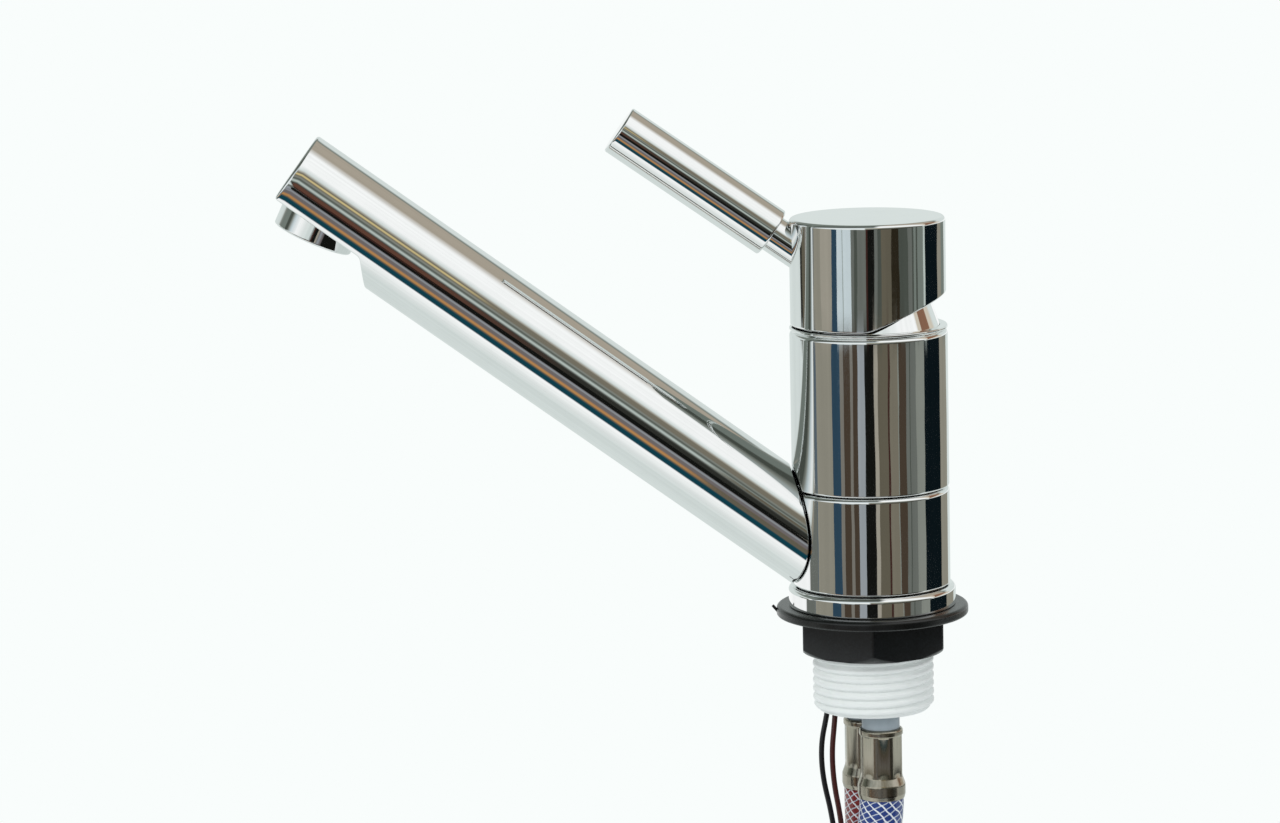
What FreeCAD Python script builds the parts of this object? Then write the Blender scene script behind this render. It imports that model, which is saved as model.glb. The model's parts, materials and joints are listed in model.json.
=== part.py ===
"""Single-lever mixer tap for a caravan sink, with its pump switch, hoses and switch leads.

Millimetres, +Z up. The origin is on the body's axis, at the underside of the deck seal.
At rest the spout and the lever point to -X. Cold is on the -Y side and hot on the +Y side.
"""
import FreeCAD
import Part
import math
import os

# Fits
fit_gap = 0.05
running_gap = 0.08
swing_gap = 0.3

# Deck seal
seal_diameter = 52.6
seal_thickness = 2.7
seal_edge_round = 1.0
seal_foot_round = 0.5
seal_recess = 0.9
seal_lip_width = 2.4
seal_hole_room = 0.4
moulding_pip_length = 1.7
moulding_pip_width = 1.2
moulding_pip_thickness = 0.7
moulding_pip_root = 0.5
moulding_pip_lean = 50.0

# Base ring
base_ring_diameter = 45.8
base_ring_height = 5.6
base_ring_round = 1.3
base_ring_wall = 1.8

# Threaded shank, G1 pipe thread
thread_diameter = 33.25
thread_pitch = 2.309
thread_depth = 1.479
thread_land = 0.385
thread_neck = 1.6
thread_chamfer = 0.9
shank_length = 26.5
shank_bore = 27.5
shank_floor = 0.3

# Hexagon nut
nut_across_flats = 38.3
nut_height = 10.1
nut_turn = -2.5
nut_chamfer_width = 2.8
nut_chamfer_rise = 2.2
nut_fit = 0.075
nut_rest_gap = 0.1

# Body: swivel collar below, fixed shell above
body_diameter = 43.0
body_edge_round = 0.4
collar_height = 26.75
collar_top_round = 1.2
seam_gap = 0.35
journal_diameter = 30.0
swivel_seal_section = 1.66
swivel_seal_inset = 5.4
water_groove_width = 6.0
water_groove_depth = 1.8
shell_height = 44.2
shell_wall = 2.1
shell_shoulder = 4.25
bead_height = 1.1
bead_round = 0.3
bead_groove_depth = 1.3
bead_groove_width = 0.25
shell_edge_round = 1.2

# Spout
spout_angle = 36.4
spout_axis_height = 9.2
spout_diameter = 26.6
spout_wall = 1.6
spout_length = 193.6
spout_end_round = 1.0
saddle_gap = 0.55
tip_flat_drop = 5.9
tip_flat_length = 27.7
tip_step_lean = 41.0
tip_step_round = 2.4
branch_diameter = 15.0
branch_bore = 4.6
bush_length = 12.0
bush_margin = 1.5
water_tube_diameter = 6.6
water_tube_wall = 1.0
water_tube_grip = 8.0

# Nozzle, leaned so that the water falls ahead of the spout
nozzle_diameter = 22.2
nozzle_barrel_diameter = 18.4
nozzle_lean = 11.2
nozzle_setback = 14.6
nozzle_reach = 4.7
nozzle_height = 15.0
nozzle_roof = 1.5
nozzle_wall = 1.0
aerator_inset = 0.8
aerator_height = 3.4
aerator_hole = 1.5
screen_thickness = 0.5
screen_hole = 0.8
washer_thickness = 0.45
washer_width = 1.0

# Lever
cap_diameter = 42.4
cap_height = 29.1
cap_gap = 0.5
cap_wall = 1.5
cap_edge_round = 1.0
cap_cut_start = -1.2
cap_cut_angle = 21.06
cap_cut_round = 12.0
cap_boss_diameter = 13.0
cap_boss_length = 15.7
lever_angle = 35.45
lever_axis_height = 87.2
neck_diameter = 10.2
neck_inner_end = 20.5
neck_grip_depth = 12.0
grip_diameter = 13.9
grip_start = 31.7
grip_length = 50.2
grip_end_round = 0.9
lift_angle = 20.0
grub_screw_diameter = 5.0
grub_screw_length = 8.0
grub_screw_height = 17.0
grub_key_size = 2.5
grub_key_depth = 3.0
screw_tower_wall = 1.6
plug_length = 3.6

# Pivot, stem and cartridge
pivot_rise = 2.05
pivot_pin_diameter = 3.0
pin_inset = 0.3
stem_thickness = 4.0
stem_boss_radius = 3.6
stem_bar = 7.0
stem_bar_rise = 6.0
stem_bar_end = 23.0
finger_radius = 1.6
finger_arm = 12.0
finger_ball_radius = 2.3
heel_reach = 8.5
heel_radius = 1.2
heel_rise = 0.6
heel_gap = 0.1
rotor_diameter = 15.2
rotor_top_rise = 4.0
rotor_flange_diameter = 21.2
rotor_flange_height = 2.2
rotor_slot_back = 6.2
guide_post_radius = 1.2
guide_post_offset = 6.0
guide_post_length = 3.4
carrier_height = 5.5
carrier_cover = 2.0
carrier_gap = 0.4
carrier_floor = 0.7
disc_diameter = 17.6
moving_disc_height = 4.4
disc_film = 0.05
fixed_disc_diameter = 21.8
fixed_disc_height = 4.0
mixing_pocket_depth = 2.0
mixing_pocket_width = 5.6
mixing_pocket_reach = 6.5
mixing_bar_near = 2.2
mixing_bar_far = 4.6
mixing_bar_half = 6.6
inlet_port_x = -0.3
outlet_port_x = 5.2
inlet_port_radius = 2.0
outlet_port_radius = 1.8
port_seal_section = 1.0
port_seal_height = 1.2
cartridge_diameter = 25.0
cartridge_wall = 1.4
cartridge_base_height = 6.0
cartridge_lip = 1.6
cartridge_flange_diameter = 27.2
cartridge_flange_drop = 4.3
cartridge_flange_height = 2.0
seat_column_diameter = 26.0
retaining_nut_height = 3.5
retaining_nut_wall = 6.7

# Cone cover under the cap
cover_skirt = 4.2
cover_cone_height = 6.0
cover_cone_angle = 20.0
cover_height = 8.65
cover_wall = 1.5
cover_hole = 20.0
cover_crown_round = 2.0

# Pump switch
slider_ring_diameter = 23.2
slider_thickness = 1.6
slider_leg_radius = 15.65
slider_leg_depth = 2.5
slider_leg_width = 3.6
slider_leg_drop = 7.8
switch_depth = 5.8
switch_width = 6.5
switch_height = 13.4
switch_below_leg = 4.1
plunger_radius = 1.2
plunger_depth = 4.4
plunger_rest_gap = 0.1
plunger_over_travel = 3.3
terminal_length = 3.0
terminal_width = 1.2
lead_diameter = 1.5
lead_spacing = 2.0
lead_bend = 1.6
lead_duct_radius = 2.2
lead_duct_x = -9.5
lead_tunnel_height = 3.4

# Hose tails and hoses
tail_diameter = 10.4
tail_bore = 5.4
tail_socket_depth = 10.0
tail_visible = 4.3
tail_seal_section = 1.2
tail_seal_inset = 4.0
tail_feed_radius = 3.0
tail_feed_height = 21.0
port_drill_depth = 32.0
cold_tail_x = 1.5
hot_tail_x = -2.1
tail_y = 6.5
hose_diameter = 12.2
hose_bore = 8.0
hose_crimped_diameter = 10.5
barb_length = 18.0
barb_teeth = 3
barb_tooth_depth = 0.35
ferrule_length = 19.6
ferrule_wall = 0.45
ferrule_bead_diameter = 12.1
ferrule_bead_height = 2.4
ferrule_bulge_diameter = 13.2
ferrule_bulge_height = 6.0
ferrule_step = 0.6
ferrule_shoulder = 2.1
ferrule_face = 0.6
end_stem_diameter = 12.0
end_stem_length = 22.0
end_stem_collar = 2.0
end_stem_round = 0.8
receptacle_width = 7.4
receptacle_thickness = 2.4
receptacle_length = 9.0
receptacle_barrel_radius = 1.6
receptacle_barrel_length = 7.0
receptacle_slot_width = 6.3
receptacle_slot_thickness = 0.8
wire_grip = 4.0

# Free routes, from the ferrule or the duct to the far end
cold_hose_route = [
    (1.5, -6.5, -56.4), (-2.5, -7.7, -75.0), (-5.5, -11.0, -110.0), (-6.5, -15.5, -158.0),
    (-6.5, -21.0, -206.0), (-3.0, -26.0, -262.0), (-3.0, -26.0, -312.0),
]
hot_hose_route = [
    (-2.1, 6.5, -65.0), (-0.5, 8.0, -93.0), (3.0, 13.5, -141.0), (6.0, 21.5, -199.0),
    (6.5, 26.0, -254.0), (6.5, 26.0, -304.0),
]
black_wire_route = [
    (-9.5, 1.0, -8.0), (-12.2, 0.6, -25.0), (-15.6, 0.2, -41.0), (-10.8, -0.4, -62.0),
    (-9.4, 0.6, -95.0), (-10.6, 1.8, -140.0), (-12.8, 0.8, -190.0), (-11.6, -0.6, -240.0),
    (-11.6, -0.6, -280.0),
]
brown_wire_route = [
    (-9.5, -1.0, -8.0), (-10.6, -3.4, -26.0), (-12.4, -4.6, -42.0), (-8.8, -4.2, -62.0),
    (-8.2, -2.0, -94.0), (-7.0, -1.6, -138.0), (-8.6, -2.8, -186.0), (-8.0, -4.0, -234.0),
    (-8.0, -4.0, -272.0),
]

# Radii worked out from the sizes above
body_radius = body_diameter / 2
journal_radius = journal_diameter / 2
collar_bore_radius = journal_radius + running_gap
shell_bore_radius = body_radius - shell_wall
thread_radius = thread_diameter / 2
root_radius = thread_radius - thread_depth
nut_corner_radius = nut_across_flats / 2 / math.cos(math.radians(30))
spout_radius = spout_diameter / 2
spout_bore_radius = spout_radius - spout_wall
branch_radius = branch_diameter / 2
water_tube_radius = water_tube_diameter / 2
barrel_radius = nozzle_barrel_diameter / 2
aerator_radius = barrel_radius - nozzle_wall
cap_radius = cap_diameter / 2
rotor_radius = rotor_diameter / 2
cartridge_radius = cartridge_diameter / 2
chamber_radius = cartridge_radius - cartridge_wall
disc_radius = disc_diameter / 2
tail_radius = tail_diameter / 2
lead_radius = lead_diameter / 2
lift = math.radians(lift_angle)

# Heights worked out from the sizes above
ring_top = seal_thickness + base_ring_height
collar_bottom = ring_top + seam_gap
collar_top = collar_bottom + collar_height
shell_bottom = collar_top + seam_gap
shell_top = shell_bottom + shell_height
cap_bottom = shell_top + cap_gap
cap_top = cap_bottom + cap_height
floor_height = seal_thickness + shank_floor
flange_top = ring_top - base_ring_wall
pivot_height = shell_top + pivot_rise
ball_height = pivot_height - finger_arm
carrier_top = ball_height + carrier_cover
carrier_bottom = carrier_top - carrier_height
moving_disc_bottom = carrier_bottom - moving_disc_height
fixed_disc_top = moving_disc_bottom - disc_film
fixed_disc_bottom = fixed_disc_top - fixed_disc_height
seat_height = fixed_disc_bottom - cartridge_base_height
rotor_bottom = carrier_top + carrier_gap
lip_bottom = rotor_bottom + rotor_flange_height + disc_film * 2
housing_top = lip_bottom + cartridge_lip
cartridge_flange_top = housing_top - cartridge_flange_drop
slider_top = pivot_height + heel_rise - heel_radius - heel_gap
leg_bottom = slider_top - slider_leg_drop
switch_top = leg_bottom - switch_below_leg
switch_bottom = switch_top - switch_height
shoulder_top = shell_bottom + shell_shoulder
tunnel_floor = shoulder_top - lead_tunnel_height
ferrule_top = -shank_length - tail_visible
ferrule_end = ferrule_top - ferrule_length
disc_travel = finger_arm * math.sin(lift)
disc_rest_x = disc_travel / 2

origin = FreeCAD.Vector(0, 0, 0)
up = FreeCAD.Vector(0, 0, 1)


def point(x, y, z):
    return FreeCAD.Vector(x, y, z)


def rounded_path(points, radii, closed):
    """Straight runs through the points, with a tangent arc of the given radius at each point."""
    count = len(points)
    entries = []
    exits = []
    arcs = []
    for i in range(count):
        here = points[i]
        is_end = not closed and i in (0, count - 1)
        if is_end or radii[i] <= 0:
            entries.append(here)
            exits.append(here)
            arcs.append(None)
            continue
        to_last = (points[i - 1] - here).normalize()
        to_next = (points[(i + 1) % count] - here).normalize()
        half = to_last.getAngle(to_next) / 2
        reach = radii[i] / math.tan(half)
        bisector = (to_last + to_next).normalize()
        middle = here + bisector * (radii[i] / math.sin(half) - radii[i])
        entries.append(here + to_last * reach)
        exits.append(here + to_next * reach)
        arcs.append(middle)
    edges = []
    for i in range(count):
        if arcs[i] is not None:
            edges.append(Part.Arc(entries[i], arcs[i], exits[i]).toShape())
        if i == count - 1 and not closed:
            break
        following = entries[(i + 1) % count]
        if (following - exits[i]).Length > 1e-6:
            edges.append(Part.LineSegment(exits[i], following).toShape())
    return Part.Wire(edges)


def outline(corners, place):
    """A closed face from corners (a, b) or (a, b, rounding), laid out by place(a, b)."""
    points = [place(corner[0], corner[1]) for corner in corners]
    radii = [corner[2] if len(corner) > 2 else 0 for corner in corners]
    return Part.Face(rounded_path(points, radii, True))


def turned(corners):
    """A solid of revolution about Z, from its half section in (radius, height)."""
    face = outline(corners, lambda r, z: point(r, 0, z))
    return face.revolve(origin, up, 360)


def sheet_cut(corners, half_width):
    """A solid from an outline in (x, z), as wide as twice half_width across Y."""
    face = outline(corners, lambda x, z: point(x, -half_width, z))
    return face.extrude(point(0, 2 * half_width, 0))


def ring(outer, inner, bottom, top):
    solid = Part.makeCylinder(outer, top - bottom, point(0, 0, bottom))
    return solid.cut(Part.makeCylinder(inner, top - bottom, point(0, 0, bottom)))


def cylinder(radius, start, end):
    """A cylinder from one point to another."""
    way = end - start
    return Part.makeCylinder(radius, way.Length, start, way)


def block(x0, x1, y0, y1, z0, z1):
    return Part.makeBox(x1 - x0, y1 - y0, z1 - z0, point(x0, y0, z0))


def moved(shape, x, y, z=0.0):
    copy = shape.copy()
    copy.translate(point(x, y, z))
    return copy


def in_frame(shape, frame):
    """The shape, modelled in a frame of its own, put where that frame is."""
    copy = shape.copy()
    copy.Placement = frame.multiply(copy.Placement)
    return copy


def leaning_frame(angle, height):
    """A frame whose Z runs up towards -X at the angle, and whose X points to the underside."""
    lean = math.radians(angle)
    along = point(-math.cos(lean), 0, math.sin(lean))
    under = point(-math.sin(lean), 0, -math.cos(lean))
    return FreeCAD.Placement(FreeCAD.Matrix(
        under.x, 0, along.x, 0,
        0, -1, 0, 0,
        under.z, 0, along.z, height,
        0, 0, 0, 1))


spout_frame = leaning_frame(spout_angle, spout_axis_height)
lever_frame = leaning_frame(lever_angle, lever_axis_height)


def deck_seal():
    radius = seal_diameter / 2
    lip_inner = radius - seal_foot_round - seal_lip_width
    seal = turned([
        (thread_radius + seal_hole_room, seal_recess), (lip_inner, seal_recess), (lip_inner, 0),
        (radius, 0, seal_foot_round), (radius, seal_thickness, seal_edge_round),
        (thread_radius + seal_hole_room, seal_thickness),
    ])
    middle = seal_thickness / 2
    pip = block(-radius - moulding_pip_length, -radius + moulding_pip_root,
                -moulding_pip_width / 2, moulding_pip_width / 2,
                middle - moulding_pip_thickness / 2, middle + moulding_pip_thickness / 2)
    pip.rotate(point(-radius, 0, middle), point(0, 1, 0), moulding_pip_lean)
    return seal.fuse(pip).removeSplitter()


def base_ring():
    radius = base_ring_diameter / 2
    inner = journal_radius + swing_gap
    return turned([
        (radius - base_ring_wall, seal_thickness), (radius, seal_thickness, body_edge_round),
        (radius, ring_top, base_ring_round), (inner, ring_top), (inner, flange_top),
        (radius - base_ring_wall, flange_top),
    ])


def threaded_shank():
    """White moulding: threaded tube, flange, swivel journal, shoulder and cartridge seat."""
    flank = (thread_pitch - 2 * thread_land) / 2
    section = [(shank_bore / 2, -shank_length), (root_radius - thread_chamfer, -shank_length)]
    section.append((root_radius, -shank_length + thread_chamfer))
    turns = int((shank_length - thread_chamfer - thread_neck) / thread_pitch)
    for turn in range(turns):
        start = -shank_length + thread_chamfer + thread_land + turn * thread_pitch
        section.append((root_radius, start))
        section.append((thread_radius, start + flank))
        section.append((thread_radius, start + flank + thread_land))
        section.append((root_radius, start + 2 * flank + thread_land))
    flange_radius = base_ring_diameter / 2 - base_ring_wall - fit_gap
    section += [
        (root_radius, seal_thickness), (flange_radius, seal_thickness), (flange_radius, flange_top),
        (journal_radius, flange_top), (journal_radius, shell_bottom),
        (shell_bore_radius - fit_gap, shell_bottom), (shell_bore_radius - fit_gap, shoulder_top),
        (seat_column_diameter / 2, shoulder_top), (seat_column_diameter / 2, seat_height),
        (0, seat_height), (0, floor_height), (shank_bore / 2, floor_height),
    ]
    solid = turned(section)
    for x, side in ((cold_tail_x, -1), (hot_tail_x, 1)):
        feed_top = floor_height + tail_feed_height
        socket_top = floor_height + tail_socket_depth
        y = side * tail_y
        solid = solid.cut(cylinder(tail_feed_radius, point(x, y, floor_height), point(x, y, feed_top)))
        solid = solid.cut(cylinder(tail_radius + fit_gap, point(x, y, floor_height), point(x, y, socket_top)))
        solid = solid.cut(cylinder(inlet_port_radius, point(inlet_port_x, y, seat_height - port_drill_depth),
                                   point(inlet_port_x, y, seat_height)))
    groove_middle = (collar_bottom + collar_top) / 2
    solid = solid.cut(cylinder(outlet_port_radius, point(outlet_port_x, 0, groove_middle),
                               point(outlet_port_x, 0, seat_height)))
    solid = solid.cut(cylinder(outlet_port_radius, point(outlet_port_x, 0, groove_middle),
                               point(journal_radius, 0, groove_middle)))
    solid = solid.cut(ring(journal_radius + fit_gap, journal_radius - water_groove_depth,
                           groove_middle - water_groove_width / 2, groove_middle + water_groove_width / 2))
    for height in swivel_seal_heights():
        solid = solid.cut(ring(journal_radius + fit_gap, journal_radius - swivel_seal_section,
                               height - swivel_seal_section * 0.6, height + swivel_seal_section * 0.6))
    solid = solid.cut(cylinder(lead_duct_radius, point(lead_duct_x, 0, floor_height),
                               point(lead_duct_x, 0, shoulder_top)))
    tunnel = block(-slider_leg_radius - lead_duct_radius, lead_duct_x, -lead_duct_radius, lead_duct_radius,
                   tunnel_floor, shoulder_top)
    return solid.cut(tunnel)


def swivel_seal_heights():
    return collar_bottom + swivel_seal_inset, collar_top - swivel_seal_inset


def swivel_seals():
    section = swivel_seal_section / 2
    rings = [Part.makeTorus(journal_radius - section, section, point(0, 0, height))
             for height in swivel_seal_heights()]
    return Part.makeCompound(rings)


def slip_ring(bottom):
    """A thin glide washer in the gap at one end of the collar."""
    return ring(body_radius - base_ring_round, journal_radius + swing_gap,
                bottom, bottom + seam_gap - fit_gap)


def mounting_nut():
    top = -nut_rest_gap
    bottom = top - nut_height
    corners = []
    for i in range(6):
        angle = math.radians(-90 + nut_turn + 60 * i)
        corners.append(point(nut_corner_radius * math.cos(angle), nut_corner_radius * math.sin(angle), bottom))
    face = Part.Face(Part.makePolygon(corners + corners[:1]))
    hexagon = face.extrude(point(0, 0, nut_height))
    envelope = turned([
        (thread_radius + nut_fit, bottom), (nut_corner_radius - nut_chamfer_width, bottom),
        (nut_corner_radius, bottom + nut_chamfer_rise), (nut_corner_radius, top),
        (thread_radius + nut_fit, top),
    ])
    return hexagon.common(envelope)


def swivel_collar():
    solid = turned([
        (collar_bore_radius, collar_bottom), (body_radius, collar_bottom, body_edge_round),
        (body_radius, collar_top, collar_top_round), (collar_bore_radius, collar_top),
    ])
    branch = in_frame(Part.makeCylinder(branch_radius, branch_length()), spout_frame)
    solid = solid.fuse(branch)
    below = point(0, 0, -body_diameter)
    above = point(0, 0, collar_top + body_diameter)
    solid = solid.cut(cylinder(collar_bore_radius, below, above))
    bore = in_frame(Part.makeCylinder(branch_bore / 2, branch_length()), spout_frame)
    socket = Part.makeCylinder(water_tube_radius + fit_gap, water_tube_grip,
                               point(0, 0, branch_length() - water_tube_grip))
    return solid.cut(bore).cut(in_frame(socket, spout_frame)).removeSplitter()


def bush_start():
    """How far out along the spout the bush clears the fixed shell."""
    lean = math.radians(spout_angle)
    clear = body_radius + saddle_gap + spout_bore_radius * math.sin(lean)
    return clear / math.cos(lean) + bush_margin


def branch_length():
    return bush_start() + bush_length + bush_margin


def spout_bush():
    tube = ring(spout_bore_radius - fit_gap, branch_radius + fit_gap, bush_start(), bush_start() + bush_length)
    return in_frame(tube, spout_frame)


def tip_cut(drop, start, length, reach):
    """What is cut from under the tip: a flat, and a step that leans back towards the body."""
    run = (reach - drop) * math.tan(math.radians(tip_step_lean))
    return sheet_cut([
        (drop, start, tip_step_round), (drop, length), (reach, length), (reach, start - run),
    ], reach)


def spout_tube():
    past = spout_length + spout_diameter
    outer = Part.makeCylinder(spout_radius, spout_length)
    end_edges = [edge for edge in outer.Edges if edge.BoundBox.ZMin > spout_length - 1e-6]
    outer = outer.makeFillet(spout_end_round, end_edges)
    flat_start = spout_length - tip_flat_length
    outer = outer.cut(tip_cut(tip_flat_drop, flat_start, past, spout_diameter))
    inner = Part.makeCylinder(spout_bore_radius, spout_length - spout_wall)
    inner = inner.cut(tip_cut(tip_flat_drop - spout_wall, flat_start - spout_wall, past, spout_diameter))
    shell = in_frame(outer.cut(inner), spout_frame)
    shell = shell.cut(cylinder(body_radius + saddle_gap, point(0, 0, -body_diameter),
                               point(0, 0, spout_length)))
    hole = Part.makeCylinder(barrel_radius + fit_gap, 2 * nozzle_height, point(0, 0, -nozzle_height / 2))
    return shell.cut(in_frame(hole, nozzle_frame()))


def nozzle_frame():
    """The nozzle's own frame: origin at the middle of its rim, Z into the spout."""
    lean = math.radians(nozzle_lean)
    place = point(tip_flat_drop + nozzle_reach, 0, spout_length - nozzle_setback)
    turn = FreeCAD.Rotation(up, point(-math.cos(lean), 0, math.sin(lean)))
    return spout_frame.multiply(FreeCAD.Placement(place, turn))


def water_tube_end():
    """Where the water tube stops, in the nozzle's leaning wall."""
    lean = math.radians(nozzle_lean)
    rise = (tip_flat_drop + nozzle_reach - water_tube_radius) * math.tan(lean)
    return spout_length - nozzle_setback + rise - aerator_radius / math.cos(lean)


def water_tube():
    start = branch_length() - water_tube_grip
    tube = ring(water_tube_radius, water_tube_radius - water_tube_wall, start, water_tube_end())
    return in_frame(tube, spout_frame)


def nozzle():
    rim = in_frame(Part.makeCylinder(nozzle_diameter / 2, nozzle_height), nozzle_frame())
    inside = block(-spout_diameter, tip_flat_drop, -spout_diameter, spout_diameter,
                   spout_length - 2 * spout_diameter, spout_length + spout_diameter)
    rim = rim.cut(in_frame(inside, spout_frame))
    barrel = in_frame(Part.makeCylinder(barrel_radius, nozzle_height), nozzle_frame())
    seat = aerator_inset + aerator_height + screen_thickness + washer_thickness
    room = turned([
        (0, 0), (aerator_radius, 0), (aerator_radius, seat), (aerator_radius - washer_width, seat),
        (aerator_radius - washer_width, nozzle_height - nozzle_roof), (0, nozzle_height - nozzle_roof),
    ])
    solid = rim.fuse(barrel).cut(in_frame(room, nozzle_frame()))
    inlet = Part.makeCylinder(water_tube_radius + fit_gap, nozzle_barrel_diameter,
                              point(0, 0, water_tube_end() - barrel_radius))
    return solid.cut(in_frame(inlet, spout_frame)).removeSplitter()


def perforated(radius, bottom, thickness, hole, rows, spacing):
    """A disc with rings of holes: one in the middle, then six more in each ring."""
    holes = [Part.makeCylinder(hole / 2, thickness, point(0, 0, bottom))]
    for row in range(1, rows + 1):
        for i in range(6 * row):
            angle = 2 * math.pi * i / (6 * row)
            place = point(row * spacing * math.cos(angle), row * spacing * math.sin(angle), bottom)
            holes.append(Part.makeCylinder(hole / 2, thickness, place))
    disc = Part.makeCylinder(radius, thickness, point(0, 0, bottom))
    return in_frame(disc.cut(holes), nozzle_frame())


def aerator_insert():
    radius = aerator_radius - fit_gap
    return perforated(radius, aerator_inset, aerator_height, aerator_hole, 2, radius / 2.6)


def aerator_screen():
    radius = aerator_radius - fit_gap
    return perforated(radius, aerator_inset + aerator_height, screen_thickness, screen_hole, 4, radius / 4.8)


def nozzle_washer():
    bottom = aerator_inset + aerator_height + screen_thickness
    washer = ring(aerator_radius - fit_gap, aerator_radius - washer_width, bottom, bottom + washer_thickness)
    return in_frame(washer, nozzle_frame())


def body_shell():
    groove_height = shell_top - bead_height
    groove_radius = body_radius - bead_groove_depth
    return turned([
        (shell_bore_radius, shell_bottom), (body_radius, shell_bottom, body_edge_round),
        (body_radius, groove_height, shell_edge_round), (groove_radius, groove_height),
        (groove_radius, groove_height + bead_groove_width),
        (body_radius, groove_height + bead_groove_width, bead_round), (body_radius, shell_top, body_edge_round),
        (shell_bore_radius, shell_top),
    ])


def cover_top():
    return shell_top + cover_height


def cartridge_cover():
    """The polished cone that closes the body under the lever's cap."""
    skirt = shell_bore_radius - fit_gap
    narrow = skirt - cover_cone_height * math.tan(math.radians(cover_cone_angle))
    bottom = shell_top - cover_skirt
    crown = cover_top()
    return turned([
        (skirt - cover_wall, bottom), (skirt, bottom), (skirt, shell_top),
        (narrow, shell_top + cover_cone_height), (narrow - cover_crown_round, crown, cover_crown_round / 2),
        (cover_hole / 2, crown), (cover_hole / 2, crown - cover_wall),
        (narrow - cover_crown_round - cover_wall / 2, crown - cover_wall),
        (narrow - cover_wall, shell_top + cover_cone_height - cover_wall / 2),
        (skirt - cover_wall, shell_top),
    ])


def retaining_nut():
    solid = ring(shell_bore_radius - fit_gap, shell_bore_radius - retaining_nut_wall,
                 cartridge_flange_top, cartridge_flange_top + retaining_nut_height)
    half = slider_leg_width / 2 + swing_gap * 2
    notch = block(-body_radius, 0, -half, half, cartridge_flange_top,
                  cartridge_flange_top + retaining_nut_height)
    return solid.cut(notch)


def ports():
    """Centre and radius of the cold, hot and outlet ports."""
    return (
        (inlet_port_x, -tail_y, inlet_port_radius), (inlet_port_x, tail_y, inlet_port_radius),
        (outlet_port_x, 0, outlet_port_radius),
    )


def cartridge_base():
    solid = Part.makeCylinder(cartridge_radius, cartridge_base_height, point(0, 0, seat_height))
    for x, y, radius in ports():
        solid = solid.cut(cylinder(radius, point(x, y, seat_height), point(x, y, fixed_disc_bottom)))
        seal_room = radius + port_seal_section + 2 * fit_gap
        solid = solid.cut(cylinder(seal_room, point(x, y, seat_height),
                                   point(x, y, seat_height + port_seal_height)))
    return solid


def port_seals():
    seals = []
    for x, y, radius in ports():
        seal = ring(radius + port_seal_section, radius, seat_height, seat_height + port_seal_height)
        seals.append(moved(seal, x, y))
    return Part.makeCompound(seals)


def fixed_disc():
    solid = Part.makeCylinder(fixed_disc_diameter / 2, fixed_disc_height, point(0, 0, fixed_disc_bottom))
    for x, y, radius in ports():
        solid = solid.cut(cylinder(radius, point(x, y, fixed_disc_bottom), point(x, y, fixed_disc_top)))
    return solid


def cartridge_housing():
    flange = cartridge_flange_diameter / 2
    flange_bottom = cartridge_flange_top - cartridge_flange_height
    return turned([
        (chamber_radius, fixed_disc_bottom), (cartridge_radius, fixed_disc_bottom),
        (cartridge_radius, flange_bottom), (flange, flange_bottom), (flange, cartridge_flange_top),
        (cartridge_radius, cartridge_flange_top), (cartridge_radius, housing_top),
        (rotor_radius + running_gap, housing_top), (rotor_radius + running_gap, lip_bottom),
        (chamber_radius, lip_bottom),
    ])


def moving_disc():
    x = disc_rest_x
    solid = Part.makeCylinder(disc_radius, moving_disc_height, point(x, 0, moving_disc_bottom))
    top = moving_disc_bottom + mixing_pocket_depth
    half = mixing_pocket_width / 2
    pocket = block(x - half, x + mixing_pocket_reach - half, -half, half, moving_disc_bottom, top)
    pocket = pocket.fuse(cylinder(half, point(x + mixing_pocket_reach - half, 0, moving_disc_bottom),
                                  point(x + mixing_pocket_reach - half, 0, top)))
    bar = block(x + mixing_bar_near, x + mixing_bar_far, -mixing_bar_half, mixing_bar_half,
                moving_disc_bottom, top)
    return solid.cut(pocket.fuse(bar))


def disc_carrier():
    """The carrier on the moving disc: a socket for the finger and two slots for the rotor's posts."""
    x = disc_rest_x
    solid = Part.makeCylinder(disc_radius, carrier_height, point(x, 0, carrier_bottom))
    socket = finger_ball_radius + 2 * fit_gap
    solid = solid.cut(cylinder(socket, point(0, 0, carrier_bottom + carrier_floor), point(0, 0, carrier_top)))
    half = guide_post_radius + fit_gap
    reach = disc_travel / 2 + half + 2 * fit_gap
    floor = rotor_bottom - guide_post_length - swing_gap
    for side in (-1, 1):
        y = side * guide_post_offset
        solid = solid.cut(block(x - reach, x + reach, y - half, y + half, floor, carrier_top))
    return solid


def mixer_rotor():
    solid = turned([
        (0, rotor_bottom), (rotor_flange_diameter / 2, rotor_bottom),
        (rotor_flange_diameter / 2, rotor_bottom + rotor_flange_height),
        (rotor_radius, rotor_bottom + rotor_flange_height), (rotor_radius, pivot_height + rotor_top_rise),
        (0, pivot_height + rotor_top_rise),
    ])
    for side in (-1, 1):
        y = side * guide_post_offset
        post = cylinder(guide_post_radius, point(0, y, rotor_bottom - guide_post_length), point(0, y, rotor_bottom))
        solid = solid.fuse(post)
    half = stem_thickness / 2 + fit_gap
    top = pivot_height + rotor_top_rise
    solid = solid.cut(block(-rotor_slot_back, stem_boss_radius + swing_gap, -half, half, rotor_bottom, top))
    heel_floor = pivot_height - rotor_radius * math.sin(lift) - (heel_radius - heel_rise) - swing_gap
    solid = solid.cut(block(0, rotor_diameter, -half, half, heel_floor, top))
    pin_hole = pivot_pin_diameter / 2 + fit_gap
    return solid.cut(cylinder(pin_hole, point(0, -rotor_radius, pivot_height), point(0, rotor_radius, pivot_height)))


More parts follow.
